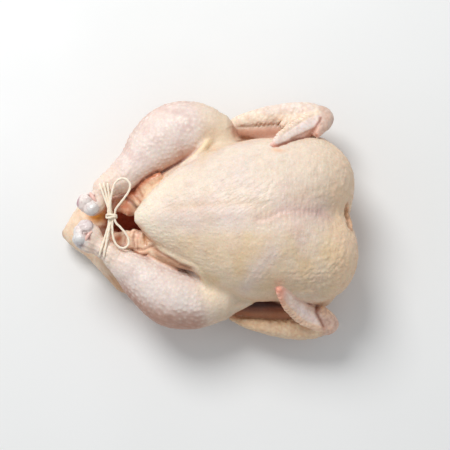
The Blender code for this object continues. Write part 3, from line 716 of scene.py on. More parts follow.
def paint(obj, name, values):
    """A colour (n, 3) or number (n) attribute on the object's points."""
    values = np.asarray(values, np.float32)
    if values.ndim == 1:
        layer = obj.data.attributes.new(name, "FLOAT", "POINT")
        layer.data.foreach_set("value", values)
    else:
        layer = obj.data.color_attributes.new(name, "FLOAT_COLOR", "POINT")
        layer.data.foreach_set("color", np.column_stack([values, np.ones(len(values))]).astype(np.float32).ravel())


class Nodes:
    """Short hand for a material's node tree."""

    def __init__(self, name):
        self.mat = bpy.data.materials.new(name)
        self.mat.use_nodes = True
        self.tree = self.mat.node_tree
        self.tree.nodes.clear()
        self.out = self.add("ShaderNodeOutputMaterial")
        self.coords = self.add("ShaderNodeTexCoord").outputs["Object"]

    def add(self, kind, **settings):
        node = self.tree.nodes.new(kind)
        for key, value in settings.items():
            setattr(node, key, value)
        return node

    def put(self, socket, value):
        if isinstance(value, bpy.types.NodeSocket):
            self.tree.links.new(value, socket)
        elif hasattr(socket, "default_value"):
            socket.default_value = value
        return self

    def attribute(self, name, colour=False):
        node = self.add("ShaderNodeAttribute", attribute_name=name)
        return node.outputs["Color" if colour else "Fac"]

    def moved(self, scale=(1, 1, 1), turn=(0, 0, 0)):
        node = self.add("ShaderNodeMapping")
        self.put(node.inputs["Vector"], self.coords)
        node.inputs["Scale"].default_value = scale
        node.inputs["Rotation"].default_value = turn
        return node.outputs["Vector"]

    def noise(self, scale, detail=2.0, rough=0.5, vector=None):
        node = self.add("ShaderNodeTexNoise")
        self.put(node.inputs["Vector"], vector or self.coords)
        node.inputs["Scale"].default_value = scale
        node.inputs["Detail"].default_value = detail
        node.inputs["Roughness"].default_value = rough
        return node.outputs["Fac"]

    def cells(self, scale, feature="F1", vector=None, random=1.0):
        node = self.add("ShaderNodeTexVoronoi", feature=feature)
        self.put(node.inputs["Vector"], vector or self.coords)
        node.inputs["Scale"].default_value = scale
        node.inputs["Randomness"].default_value = random
        return node.outputs["Distance"]

    def spread(self, value, a, b, c=0.0, d=1.0):
        node = self.add("ShaderNodeMapRange", interpolation_type="SMOOTHSTEP")
        self.put(node.inputs["Value"], value)
        for key, x in zip(("From Min", "From Max", "To Min", "To Max"), (a, b, c, d)):
            self.put(node.inputs[key], x)
        return node.outputs["Result"]

    def maths(self, kind, a, b=0.0, c=0.0):
        node = self.add("ShaderNodeMath", operation=kind)
        for socket, value in zip(node.inputs, (a, b, c)):
            self.put(socket, value)
        return node.outputs[0]

    def mix(self, share, a, b, kind="MIX"):
        node = self.add("ShaderNodeMix", data_type="RGBA", blend_type=kind)
        self.put(node.inputs["Factor"], share)
        for key, value in ((6, a), (7, b)):
            self.put(node.inputs[key], value if isinstance(value, bpy.types.NodeSocket) else (*value, 1.0))
        return node.outputs[2]

    def bump(self, height, strength, depth, below=None):
        node = self.add("ShaderNodeBump")
        self.put(node.inputs["Height"], height)
        self.put(node.inputs["Strength"], strength)
        node.inputs["Distance"].default_value = depth
        if below is not None:
            self.put(node.inputs["Normal"], below)
        return node.outputs["Normal"]

    def finish(self, **inputs):
        shader = self.add("ShaderNodeBsdfPrincipled")
        for key, value in inputs.items():
            self.put(shader.inputs[key.replace("_", " ")], value)
        self.tree.links.new(shader.outputs[0], self.out.inputs[0])
        return self.mat


def stretched(n, angle, across, length, detail=1.0):
    """Noise drawn out along a direction in the XY plane, sizes in metres."""
    node = n.add("ShaderNodeMapping", vector_type="TEXTURE")
    n.put(node.inputs["Vector"], n.coords)
    node.inputs["Scale"].default_value = (length, across, length)
    node.inputs["Rotation"].default_value = (0, 0, math.radians(angle))
    return n.noise(1.0, detail, 0.5, node.outputs["Vector"])


def skin_material():
    n = Nodes("raw_skin_surface")
    tint = n.attribute("tint", True)
    rough_skin = n.attribute("pimply")
    wet = n.attribute("wet")
    blotch = n.noise(75, 3, 0.55)
    tint = n.mix(n.spread(blotch, 0.38, 0.7, 0.0, 0.22), tint, n.mix(1.0, tint, (0.93, 0.82, 0.78), "MULTIPLY"))
    pale = n.noise(230, 2, 0.5)
    tint = n.mix(n.spread(pale, 0.45, 0.75, 0.0, 0.5), tint, n.mix(1.0, tint, (1.05, 1.05, 1.04), "MULTIPLY"))
    fine = n.noise(700, 3, 0.6)
    tint = n.mix(n.spread(fine, 0.35, 0.7, 0.45, 0.0), tint, n.mix(1.0, tint, (0.90, 0.85, 0.79), "MULTIPLY"))
    pores = n.cells(380)
    pimple = n.spread(pores, 0.5, 0.08)
    slant = n.maths("MULTIPLY", stretched(n, 30, 0.0015, 0.0060), n.attribute("slant"))
    level = n.maths("MULTIPLY", stretched(n, -6, 0.0016, 0.0046), n.attribute("level"))
    upright = n.maths("MULTIPLY", stretched(n, 88, 0.0016, 0.0080), n.attribute("upright"))
    lines = n.maths("ADD", n.maths("ADD", slant, level), upright)
    normal = n.bump(lines, 0.8, 0.0006)
    normal = n.bump(pimple, n.maths("MULTIPLY", rough_skin, 0.40), 0.0003, normal)
    normal = n.bump(fine, 0.42, 0.0003, normal)
    rough = n.spread(n.noise(240, 2), 0.3, 0.75, 0.42, 0.58)
    rough = n.maths("SUBTRACT", rough, n.maths("MULTIPLY", wet, 0.20))
    return n.finish(Base_Color=tint, Roughness=rough, Normal=normal, Subsurface_Weight=0.18,
                    Subsurface_Radius=(1.0, 0.45, 0.28), Subsurface_Scale=0.0030, IOR=1.42)


# ----------------------------------------------------------------- skin colour
def skin_paint(p, n):
    """Linear colour, painted shade and highlights among it, and the shares that steer the material, at each point."""
    m = masks(p)
    c = np.tile(linear((236, 221, 205)), (len(p), 1))

    def blend(colour, share):
        nonlocal c
        share = np.clip(share, 0, 1)[:, None]
        c = c * (1 - share) + linear(colour) * share

    def spot(colour, centre, radius, share):
        d = np.linalg.norm((p - centre) / radius, axis=1)
        blend(colour, share * np.exp(-d * d))

    x, y, z = p.T
    small = noise(p, 7, 72, 2)
    top = step(0.2, 0.8, n[:, 2])
    up = step(0.0, 0.4, n[:, 2])
    only = m["only"]
    blend((226, 201, 158), 0.75 * step(-0.2, 0.6, noise(p, 26, 71, 2)) * step(16, -10, y))      # fat under the skin
    blend((226, 206, 178), 0.30 * step(0.0, 0.6, noise(p, 22, 70, 2)))
    blend((222, 200, 192), 0.50 * step(0.0, 0.5, noise(p, 18, 73, 2)))                          # flesh under the skin
    blend((218, 190, 154), 0.50 * only * step(4, 50, x) * step(-14, -44, y))
    blend((214, 190, 156), 0.42 * only * step(40, 84, x) * step(-6, 24, y))
    blend((212, 184, 152), 0.26 * only * step(0.05, 0.6, noise(p, 13, 74, 2)))
    blend((240, 222, 204), 0.22 * only * step(0.1, 0.6, noise(p, 14, 69, 2)))
    blend((231, 206, 170), 0.55 * only * step(78, 98, x))
    blend((228, 197, 146), 0.38 * only * step(-8, -22, y) * step(70, 20, x))
    # painted light: the neck end of the breast lightened against the shade it falls into
    blend((250, 216, 184), 0.45 * only * step(86, 98, x))
    blend((226, 206, 200), 0.75 * only * top * bell(y - 0, 12) * step(40, 10, x))               # lilac keel
    blend((218, 186, 178), 0.50 * only * score(p, NECK_LINE, 5.0) * step(98, 84, x))
    blend((204, 162, 146), 0.24 * only * score(p, NECK_LINE, 2.4) * step(96, 80, x))
    blend((224, 194, 186), 0.45 * only * bell(y - 1, 17) * step(30, 50, x) * step(100, 84, x))
    # painted shade: a tan line along the soft crease beside the keel ridge
    blend((210, 178, 146), 0.45 * only * top * score(p, KEEL_LINE, 3.4) * step(-60, -40, x) * step(34, 20, x))
    blend((252, 241, 222), 0.90 * only * bell(x + 82, 32) * step(58, 76, z))                    # breast tip
    # painted shade, slight: the top of the breast's upper left, where the key light falls brightest, painted a little
    # darker
    blend((228, 214, 200), 0.40 * only * step(-76, -10, x) * step(12, 34, y) * top)
    blend((220, 206, 202), 0.35 * only * bell(x - 12, 16) * bell(y - 38, 14))
    # painted highlight: a broad lighter area on the top of the breast's middle
    blend((244, 231, 220), 0.28 * only * top * bell(x - 10, 38) * bell(y - 2, 20))
    blend((224, 208, 204), 0.60 * only * score(p, [(19, -60), (28, -47), (40, -34)], 8.0))
    # painted shade: warmer and darker where the skin turns away from the top light, outside the legs and wings
    blend((232, 190, 158), 0.80 * (1 - step(-0.1, 0.55, n[:, 2])) * (1 - m["leg"]) * (1 - m["wing"]))
    blend((226, 176, 148), 0.60 * only * score(p, [(-76, -9), (-72, -16), (-66, -23), (-60, -30)], 3.6))
    for k in (0, 1):
        leg = m["legs"][k] * step(12, -6, x + 4 * noise(p, 12, 98))
        peak, s = leg_dots(p, k)
        blend(((234, 218, 212), (232, 219, 214))[k], 0.92 * leg)
        blend((214, 184, 178), (0.50, 0.36)[k] * leg * step(-0.05, 0.55, noise(p, 15, 75 + k, 2)))
        # painted shade on each drumstick: darker and warmer where the skin faces down, a darker band where it turns
        # from the light, and darker on the side facing away from the key light (under)
        blend(((204, 146, 114), (184, 124, 94))[k], (0.78, 0.88)[k] * leg * step(0.50, -0.25, n[:, 2]))
        blend(((202, 160, 144), (176, 126, 108))[k], (0.45, 0.85)[k] * leg * bell(n[:, 2] - 0.36, 0.26) * step(20, 40, s))
        under = step((-0.45, -0.26)[k], (-0.85, -0.72)[k], n[:, 1]) * step(18, 40, s) * step(0, -30, x + 8 * noise(p, 14, 99))
        blend(((206, 158, 130), (190, 144, 124))[k], (0.50, 0.80)[k] * leg * under)
        # the pimples painted paler: partly their own colour, partly painted highlight, fainter on the shaded side
        blend((250, 241, 230), leg * peak * step(6, 18, s) * (0.42 + 0.35 * noise(p, 16, 78)) * (1 - 0.65 * under))
        blend((246, 226, 208), 0.6 * leg * step(30, 6, s))
        blend((240, 222, 198), 0.6 * leg * step(96, 112, s))
    blend((240, 231, 228), 0.85 * m["leg"] * step(6.0, 1.0, m["stump"]))
    # painted shade: a soft mauve ring on the skin where it meets each cut bone
    blend((186, 156, 152), 0.45 * m["leg"] * bell(m["stump"] - 0.4, 0.7))
    for k, fold in enumerate(FOLDS):
        d, _, _ = near(p, catmull(fold, 4)[:, :3])
        blend(((216, 188, 152), (234, 212, 180))[k], 0.65 * bell(d, 12) * step(-30, -14, x))
        blend((252, 234, 196), 0.95 * step(3.4, 1.6, d))
        # painted shadow: a brown line alongside each taut fold, just below its crest
        away, _, _ = near(p, catmull(fold, 4)[:, :3] + np.array([1.6, (-2.6, 2.6)[k], -1.5]))
        blend((186, 142, 98), 0.55 * bell(away, 1.7) * step(2.0, 3.4, d) * step(-10, -20, x))
    blend((222, 200, 168), 0.6 * step(-14, 0, x) * step(34, 12, x) * step(40, 56, np.abs(y)) * step(80, 60, z))
    for k, sign in ((0, 1), (1, -1)):
        wing, hand = m["wings"][k], m["hands"][k]
        arm = wing * (1 - hand)
        edge = y * sign - 85.0
        blend(((246, 233, 217), (232, 204, 170))[k], 0.94 * wing)
        blend((236, 226, 224), 0.55 * arm * step(9, 13, edge) * step(20, 40, x) * (1, 0.2)[k])
        blend(((246, 218, 184), (230, 186, 142))[k], (0.40, 0.50)[k] * arm * step(0.05, 0.5, noise(p, 6, 85 + k, 2)) * step(12, 3, edge))
        s, turn, _ = around(p, FOREARMS[k])
        blend((244, 222, 184), (0.15, 0.60)[k] * arm * bell(dots(s, turn * 11, 3.7, 3.8, 0.8, 43 + k), 0.32))
        blend((206, 148, 102), (0.18, 0.30)[k] * arm * up * wrinkle(p, 4.6, 45 + k, 0.22))
        # painted shade: the forearm darker and warmer where its skin turns downward
        blend(((222, 172, 138), (196, 136, 98))[k], (0.55, 0.70)[k] * arm * step((-0.2, 0.30)[k], (-0.7, -0.3)[k], n[:, 2]))
        wave = np.abs(np.sin((x - 0.8 * edge + 1.2 * noise(p, 14, 41)) * np.pi / 3.9))
        # painted shade in the notches between the scallops along the forearm's inner edge
        blend((206, 150, 112), (0.45, 0.2)[k] * arm * step(0.40, 0.08, wave) * step(3.4, 1.6, edge) * step(24, 32, x) * step(60, 54, x))
        # painted shade along the deep creases on the forearm towards the wrist
        blend((150, 98, 72), 0.7 * arm * up * score(p, ARM_LINES[k], 1.6))
        s, t = on_hand(p, k)
        blend(((242, 227, 220), (251, 230, 218))[k], 0.94 * hand)
        blend(((250, 230, 208), (250, 212, 180))[k], 0.80 * hand * step(0.36, 0.55, t) * step(64, 50, s))
        blend(((226, 176, 154), (240, 200, 180))[k], 0.70 * hand * step((-0.30, -0.45)[k], (-0.52, -0.66)[k], t) * step(2, 10, s))
        blend(((242, 232, 232), (240, 224, 226))[k], 0.60 * hand * bell(t + 0.05, 0.26) * step(6, 14, s) * step(48, 30, s))
        blend(((217, 190, 174), (228, 194, 176))[k], 0.85 * wing * step((82, 84)[k], (88, 90)[k], x))
        blend(((240, 222, 210), (250, 214, 176))[k], 0.55 * wing * step(82, 86, x) * step(90, 82, sign * y))
        blend((182, 134, 120), (0.28, 0.42)[k] * wing * step(80, 86, x) * wrinkle(p, 4.4, 66 + k, 0.20))
        # painted shade: a dark line in the crease between the hand and the thumb
        blend((150, 86, 66), 0.85 * wing * score(p, THUMB_LINES[k], 1.5))
        blend((200, 150, 124), 0.22 * wing * wrinkle(p, 5.0, 59 + k, 0.20))
        rib = np.abs(np.sin(s * np.pi / 3.8 + noise(p, 8, 49)))
        # painted shade in the grooves between the ribs of the wing tip's rim
        blend((196, 132, 100), 0.55 * hand * step(0.40, 0.10, rib) * step(0.60, 0.85, t) * step(8, 14, s))
    # the hollow between each forearm and the breast: pinkish flesh on the right with painted shade where the breast
    # turns under beside it; on the left, deep painted shade in the gap
    blend((202, 148, 122), 0.90 * step(74, 66, z) * bell(y - 79.5, 7.5) * step(2, 8, x) * step(66, 54, x) * (1 - m["wing"]))
    blend((150, 92, 66), 0.85 * step(66, 58, z) * bell(sample(breast, p) - 0.6, 1.3) * step(4, 10, x) * step(62, 50, x) * step(60, 66, y))
    # painted shade in the gap between the left forearm and the breast: darkest by the body, lighter towards the
    # forearm, redder towards the elbow
    painted_gap_shade = step(50, 43, z + 2.5 * noise(p, 9, 97)) * step(-64, -69, y) * step(1, 5, x) * step(68, 58, x) * (1 - m["wing"]) * (1 - m["legs"][1])
    blend((150, 94, 72), 0.96 * painted_gap_shade)
    blend((232, 174, 138), 0.85 * painted_gap_shade * step(-79, -85, y))
    blend((190, 116, 86), 0.60 * painted_gap_shade * step(18, 8, x))
    blend((66, 26, 18), 0.95 * painted_gap_shade * step(-80, -75, y) * step(8, 26, x))
    # painted shadow: a dark brown line on the breast along the edge of each wing tip that lies on it
    for k in (0, 1):
        s, t = on_hand(p, k)
        blend((134, 74, 50), 0.90 * bell(seam(p, wings[k][1], breast) - 0.3, (0.95, 0.8)[k]) * step(0.4, -0.2, t) * (1, step(44, 22, s))[k])
    spot((236, 142, 116), (46.2, -63.5, 90), (5.5, 5.5, 7), 0.80 * m["hands"][1])
    spot((240, 160, 128), (48.5, -70.0, 80), (4.5, 9, 16), 0.75 * m["hands"][1])
    spot((226, 156, 134), (41.6, 61.2, 91), (3.4, 2.8, 5), 0.80 * m["hands"][0])
    spot((120, 98, 92), (39.6, 59.6, 91), (1.6, 1.4, 4), 0.85 * m["hands"][0])
    spot((236, 180, 138), (45.5, 56.0, 95.5), (6, 2.6, 4), 0.6 * (1 - m["wing"]))
    # a reddish patch on the breast beside the left wing tip: partly a blush of the skin, partly painted reflected light
    # from the red tip
    spot((230, 158, 130), (46.6, -58.2, 95.0), (4.4, 4.0, 6), 0.42 * (1 - m["wing"]))
    # painted light: the breast by the left wrist is lightened where its surface turns down into shade
    spot((252, 222, 202), (70, -71, 62), (11, 7, 12), 0.7 * (1 - m["wing"]))
    # hidden and torn flesh
    low = step(50, 38, z) * step(-44, -66, x) * (1 - m["leg"])
    blend((244, 220, 194), 0.85 * low)
    blend((220, 180, 146), 0.5 * low * step(0.0, 0.5, noise(p, 10, 88, 2)))
    blend((212, 170, 132), 0.85 * low * step(-44, -52, y))
    blend((200, 152, 116), 0.20 * low * wrinkle(np.column_stack([(x + 0.4 * y) / 5, (y - 0.4 * x) / 12, z / 7]), 1.0, 62))
    flesh = np.column_stack([x / 5.5, y / 5.5, z / 9])
    folded = wrinkle(flesh, 1.0, 52, 0.30)
    right = step(-2, 4, y)
    groove = np.minimum(step(0.1, 1.2, sample(breast, p)), step(0.1, 1.2, sample(legs[1], p))) * step(-34, -44, x) * step(-96, -84, x) * step(0, -8, y)
    blend((226, 178, 146), 0.75 * groove * step(72, 66, z))
    blend((250, 220, 192), 0.95 * m["flaps"])
    blend((254, 234, 212), 0.45 * m["flaps"] * (1 - right))
    blend((240, 194, 156), 0.55 * m["flaps"] * step(0.0, 0.5, noise(p, 7, 89, 2)))
    blend((212, 146, 112), 0.75 * m["flaps"] * right * step(-78, -86, x))
    blend((206, 108, 78), 0.55 * m["flaps"] * right * step(-80, -88, x) * step(0.05, 0.45, noise(p, 5, 90)))
    blend((250, 226, 196), 0.80 * m["flaps"] * right * step(-80, -72, x))
    blend((196, 126, 92), 0.30 * m["flaps"] * folded)
    # painted shadow: a brown line in the crease along the inner edge of the right leg, against the flap
    blend((196, 112, 74), 0.80 * m["flaps"] * right * score(p, [(-91, 25), (-86, 24.6), (-78, 28.5), (-68, 34.5), (-58, 40)], 3.0))
    spot((186, 100, 66), (-82, 23.0, 58), (6.5, 4.5, 9), 0.85 * m["flaps"])
    # darker along the cracks in the flesh: partly the flesh's own colour, partly painted shade in the cracks
    for path, _, width, hue in CRACKS:
        blend(hue, 0.62 * m["flaps"] * score(p, path, width))
    spot((212, 116, 78), (-94.5, -16.5, 53), (3.6, 3.2, 8), 0.9 * m["flaps"])
    spot((236, 204, 196), (-90.0, -22.5, 54), (3.4, 2.4, 8), 0.8 * m["flaps"])
    spot((248, 212, 192), (-76.4, -14.5, 61), (2.6, 5.0, 8), 0.7 * m["flaps"])
    # along the skirt line: a brownish band beside it, and painted shade as a dark line in its crease
    line = catmull(SKIRT_LINE, 4)
    side = y - np.interp(x, line[:, 0], line[:, 1])
    band = step(-66, -58, x) * step(-24, -33, x) * step(48, 56, z) * (1 - m["leg"]) * (1 - m["lips"])
    blend((192, 146, 116), 0.85 * band * step(1.2, -0.8, side) * step(-12, -8, side))
    blend((142, 88, 62), 0.85 * band * bell(side, 1.5))
    # painted shade in the deep fold where each leg lies against the trunk: a dark line in the fold and a broader warm
    # darkening on the trunk beside it
    for k in (0, 1):
        deep = seam(p, legs[k], trunk) - 0.4
        along = step(-30, -42, x) * step(-112, -100, x) * step(40, 50, z)
        blend(((150, 76, 48), (152, 86, 62))[k], (0.85, 0.85 - 0.6 * step(-70, -62, x))[k] * along * bell(deep, (1.15, 0.95)[k]))
        blend(((190, 112, 76), (206, 146, 116))[k], 0.60 * along * step(4.5, 1.0, deep) * (1 - m["leg"]))
    # painted shade: a dark spot at the tail end of the skirt crease
    spot((112, 60, 36), (-63.0, -24.0, 60), (3.0, 1.8, 8), 0.8)
    spot((214, 162, 116), (-69.5, -18.5, 61), (4.0, 5.0, 8), 0.7 * m["flaps"])
    blend((162, 84, 60), 0.7 * m["flaps"] * step(-96, -103, x))
    blend((214, 108, 82), m["hollow"])
    # painted shade: the cavity painted much darker on the bird's left side, away from the key light
    blend((92, 32, 20), 0.95 * m["hollow"] * step(-2, -9, y + 0.55 * (x + 96)))
    blend((214, 172, 142), 0.7 * m["neck"])
    spot((156, 104, 76), (106, -4, 56), (6, 4.5, 9), 0.6 * m["neck"])
    blend((222, 184, 152), 0.9 * m["folds"])
    blend((176, 130, 98), 0.6 * m["folds"] * step(0.0, 0.35, noise(p, 3.6, 67)))
    spot((216, 142, 44), (-115, 4.5, 32), (10, 6, 22), 0.95 * (1 - m["leg"]))
    spot((236, 158, 62), (-110.6, 3.2, 62), (9, 5.0, 10), 0.92 * m["leg"])
    # painted shade: a dark red-brown spot low in the gap between the ankles, under the knot
    spot((186, 104, 66), (-106, -2, 34), (5.5, 6, 18), 0.85 * (1 - m["leg"]))
    spot((248, 230, 206), (-9, -65, 66), (16, 11, 14), 0.6)
    spot((150, 112, 118), (-109.5, -31.5, 71.0), (3.4, 2.6, 4), 0.6 * m["leg"])
    for centre, radius in (((-118.6, 17.2, 73.5), (2.2, 2.8, 4)), ((-121.2, -14.4, 74.0), (2.8, 2.0, 4)), ((-118.6, -18.2, 74.5), (1.4, 2.4, 4)),
                           ((-125.4, -24.0, 71.0), (2.4, 1.2, 4)), ((-114.6, 19.4, 73.0), (1.0, 2.2, 4))):
        spot((132, 56, 50), centre, radius, 0.85 * m["leg"])
    blend((232, 206, 190), 0.6 * m["legs"][1] * step(-112, -116, x) * step(5, 8, m["stump"]) * step(-14, -20, y))
    spot((96, 52, 42), (-150.5, -8.9, 19), (3.2, 3.2, 6), 0.9)
    c = c * (1 + 0.06 * small[:, None] + 0.04 * noise(p, 3.0, 68, 2)[:, None] * np.array([0.8, 1.0, 1.3]))
    share = {
        "pimply": np.clip(1 - m["hollow"] - 0.6 * m["flaps"] - 0.5 * m["hand"], 0, 1),
        "wet": np.clip(0.25 * top + m["flaps"] + m["hollow"], 0, 1),
        "slant": only * step(62, 30, x) * step(-12, 10, y) * (0.35 + 0.65 * step(62, 36, y)),
        "level": np.clip(only * step(40, -30, x) * step(10, -12, y) * 0.60, 0, 1),
        "upright": 0.55 * only * step(26, 60, x) * step(100, 84, x)}
    return np.clip(c, 0, 1), share


# ------------------------------------------------------------- path of the twine
KNOT = np.array([-99.5, 1.2, 73.5])
TWINE = 0.98          # radius of the twine in pattern units
TURNS = [             # middle of the ankle, distance from the knot where the turn sinks into the skin
    ((-107.2, 22.0, A - 1), 31.5), ((-104.6, 22.5, A - 1), 31.0), ((-102.0, 22.5, A - 1), 29.5),
    ((-106.4, -21.5, A - 1), 37.5), ((-103.8, -22.5, A - 1), 38.0)]
RIGHT_BOW = [(-1.0, 6, 3.0), (-0.6, 13, 4.4), (1.2, 22, 5.8), (3.8, 29, 6.6), (9.0, 32.6, 6.9), (14.0, 31.2, 6.8),
             (16.8, 26.5, 6.4), (15.2, 21.0, 5.8), (11.0, 15.0, 4.8), (6.5, 9.5, 3.4), (3.0, 5.0, 2.0)]
LEFT_BOW = [(2.5, -4.5, 0.6), (7.5, -9.2, 0.0), (12.5, -15.0, -0.8), (15.2, -20.6, -1.6), (14.6, -25.0, -2.2),
            (11.0, -27.6, -2.4), (6.5, -26.6, -2.0), (3.0, -22.4, -1.4), (1.2, -16.0, -0.8), (0.8, -9.0, 0.0)]


def outline(points):
    """Convex outline of points in a plane, counterclockwise."""
    points = sorted(set(points))

    def half(run):
        side = []
        for p in run:
            while len(side) > 1 and (
                (side[-1][0] - side[-2][0]) * (p[1] - side[-2][1]) - (side[-1][1] - side[-2][1]) * (p[0] - side[-2][0])
            ) <= 0:
                side.pop()
            side.append(p)
        return side[:-1]

    return half(points) + half(list(reversed(points)))


def even(points, gap):
    """The same path with points gap apart, as nearly as its length allows."""
    points = np.asarray(points, float)
    run = np.concatenate([[0], np.cumsum(np.linalg.norm(np.diff(points, axis=0), axis=1))])
    at = np.linspace(0, run[-1], max(int(round(run[-1] / gap)), 2) + 1)
    return np.column_stack([np.interp(at, run, points[:, k]) for k in range(3)])


def softened(points, rounds=3):
    for _ in range(rounds):
        points = points.copy()
        points[1:-1] = 0.25 * points[:-2] + 0.5 * points[1:-1] + 0.25 * points[2:]
    return points


def taut_turn(tree, centre, sink, rays=72):
    """A turn from the knot round an ankle, drawn tight, sunk in the skin past the ankle's top."""
    centre = np.array(centre)
    out = np.array([centre[0] - KNOT[0], centre[1] - KNOT[1], 0.0])
    out /= np.linalg.norm(out)
    flat = [(0.0, 0.0)]
    for k in range(rays):
        a = 2 * math.pi * k / rays
        ray = out * math.cos(a) + np.array([0, 0, math.sin(a)])
        hit = tree.ray_cast(Vector(centre), Vector(ray))[0]
        if hit is not None and (hit - Vector(centre)).length < 22:
            q = np.array(hit) + ray * (TWINE * 0.35) - KNOT
            flat.append((float(q @ out), float(q[2])))
    ring = outline(flat)
    start = ring.index((0.0, 0.0))
    ring = np.array(ring[start:] + ring[:start] + [(0.0, 0.0)])
    path = even(np.column_stack([ring, np.zeros(len(ring))]), 0.8)
    path = softened(path, 6)
    u, w = path[:, 0], path[:, 1]
    mid_u, mid_w = float((centre - KNOT) @ out), centre[2] - KNOT[2]
    inward = unit_of(np.column_stack([mid_u - u, mid_w - w]))
    deep = 2.4 * step(sink - 2.5, sink + 2.5, u) * step(-14, -4, w - mid_w + 6) + 0.5 * step(2, 10, u)
    u, w = u + inward[:, 0] * deep, w + inward[:, 1] * deep
    return KNOT + u[:, None] * out + w[:, None] * np.array([0, 0, 1.0])


close = (P[:, 0] < -84)
index = np.full(len(P), -1)
index[close] = np.arange(close.sum())
ankle_quads = quads[close[quads].all(1)]
tree = BVHTree.FromPolygons(P[close].tolist(), index[ankle_quads].tolist())
turns = [taut_turn(tree, centre, sink) for centre, sink in TURNS]
# the twine bites into the skin
for path, (centre, sink) in zip(turns, TURNS):
    away, _, _ = near(P[close], path[::3])
    P[close] -= N[close] * (0.75 * bell(away, 1.5) + 0.45 * bell(away, 4.0))[:, None] * (1 - m["hollow"][close])[:, None]

skin = mesh_piece("chicken_skin", P, quads, skin_material())
hidden = np.clip(m["hollow"] + step(34, 10, P[:, 2]) * step(0.2, -0.3, N[:, 2]) + 0.6 * step(0.0, -0.5, N[:, 2]), 0, 1)
spare = skin.vertex_groups.new(name="spare")
levels = np.round(0.22 + 0.78 * hidden, 1)
for level in np.unique(levels):
    spare.add(np.nonzero(levels == level)[0].tolist(), float(level), "REPLACE")
thinned(skin, 196000 / (2 * len(quads)), "spare")
SP = points_of(skin)
normals = np.empty(len(SP) * 3, np.float32)
skin.data.vertices.foreach_get("normal", normals)
SN = normals.reshape(-1, 3).astype(float)
colour, shares = skin_paint(SP, SN)
paint(skin, "tint", colour)
for name, values in shares.items():
    paint(skin, name, values)
skin.data.shade_smooth()
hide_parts("chicken")
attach(skin, "root")
print("skin triangles", len(skin.data.polygons))


# ----------------------------------------------------------------------- twine
def rope(path, radius, lay=5.2, plies=3, sides=15, gap=0.42):
    """Twisted cord along a path, as points and quads with closed ends."""
    path = even(path, gap)
    n = len(path)
    along = unit_of(np.gradient(path, axis=0))
    up = np.array([0.3, 0.1, 1.0])
    side = unit_of(np.cross(up, along[0]))
    frames = []
    for t in along:
        side = unit_of(side - t * (side @ t))
        frames.append((side, np.cross(t, side)))
    turn = np.linspace(0, 2 * np.pi, sides, endpoint=False)
    run = np.arange(n) * np.linalg.norm(path[1] - path[0])
    rings = []
    for i, (a, b) in enumerate(frames):
        twist = 2 * np.pi * run[i] / (lay * plies) * plies / plies
        lobes = 0.86 + 0.20 * np.abs(np.cos(plies / 2 * (turn - 2 * np.pi * run[i] / (lay * plies) * 1.0)))
        r = radius * lobes
        if i in (0, n - 1):
            r = r * 0.55
        rings.append(path[i] + np.outer(np.cos(turn) * r, a) + np.outer(np.sin(turn) * r, b))
    return skinned(rings)


def bunched(path, rows):
    """The ends of a path shifted sideways within the knot, rows being (start, end)."""
    path = even(path, 0.8)
    s = np.arange(len(path)) * 0.8
    for shift, share in ((rows[0], step(9, 2, s)), (rows[1], step(9, 2, s[-1] - s))):
        path = path + share[:, None] * np.array(shift, float)
    return path


ropes = []
for path, ends in zip(turns, [((-1.9, 0, 0.5), (-1.7, 0, -0.6)), ((-0.5, 0, 1.1), (-0.6, 0, -0.8)), ((0.6, 0, 0.9), (0.4, 0, -0.9)),
                              ((-1.6, 0, 0.5), (-1.3, 0, -0.7)), ((0.2, 0, 1.0), (0.0, 0, -0.9))]):
    ropes.append(bunched(path, ends))
for bow, ends in ((RIGHT_BOW, ((-0.2, 0, 0.4), (1.7, 0, 0.3))), (LEFT_BOW, ((1.7, 0, 0.4), (0.9, 0, 0.2)))):
    ring = catmull([KNOT] + [KNOT + np.array(p) for p in bow] + [KNOT], 8)
    ropes.append(bunched(ring, ends))
for lift, tip, size in ((-0.95, 0.5, 1.0), (0.95, -0.4, 0.97)):
    a = np.linspace(0, 2 * np.pi, 40)
    ropes.append(KNOT + np.column_stack([4.4 * size * np.cos(a), lift + tip * np.sin(2 * a + 0.4), 3.4 * size * np.sin(a)]))
pieces, base = [], 0
points, faces, threes = [], [], []
for path in ropes:
    pts, q4, t3 = rope(path, TWINE)
    points.append(pts)
    faces.append(q4 + base)
    threes.append(t3 + base)
    base += len(pts)


def twine_material():
    n = Nodes("cotton_twine_surface")
    fibre = n.noise(2600, 3, 0.6)
    patch = n.noise(500, 2, 0.5)
    tint = n.mix(n.spread(patch, 0.35, 0.7), (0.95, 0.83, 0.67), (0.98, 0.90, 0.77))
    tint = n.mix(n.spread(fibre, 0.30, 0.60, 0.30, 0.0), tint, (0.78, 0.60, 0.42))
    return n.finish(Base_Color=tint, Roughness=n.spread(fibre, 0.3, 0.7, 0.85, 0.97), Normal=n.bump(fibre, 0.6, 0.0002),
                    Sheen_Weight=0.2, Sheen_Roughness=0.5, Subsurface_Weight=0.12, Subsurface_Radius=(1.0, 0.7, 0.5),
                    Subsurface_Scale=0.001)


def mixed_piece(name, pts, quads4, tris3, mat):
    mesh = bpy.data.meshes.new(name)
    mesh.from_pydata(((pts + PLACE) * UNIT).tolist(), [], quads4.tolist() + tris3.tolist())
    mesh.update()
    mesh.shade_smooth()
    mesh.materials.append(mat)
    obj = bpy.data.objects.new(name, mesh)
    scene.collection.objects.link(obj)
    return obj


twine = mixed_piece("twine_bow", np.vstack(points), np.vstack(faces), np.vstack(threes), twine_material())
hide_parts("twine")
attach(twine, "root")
print("twine triangles", 2 * sum(map(len, faces)))


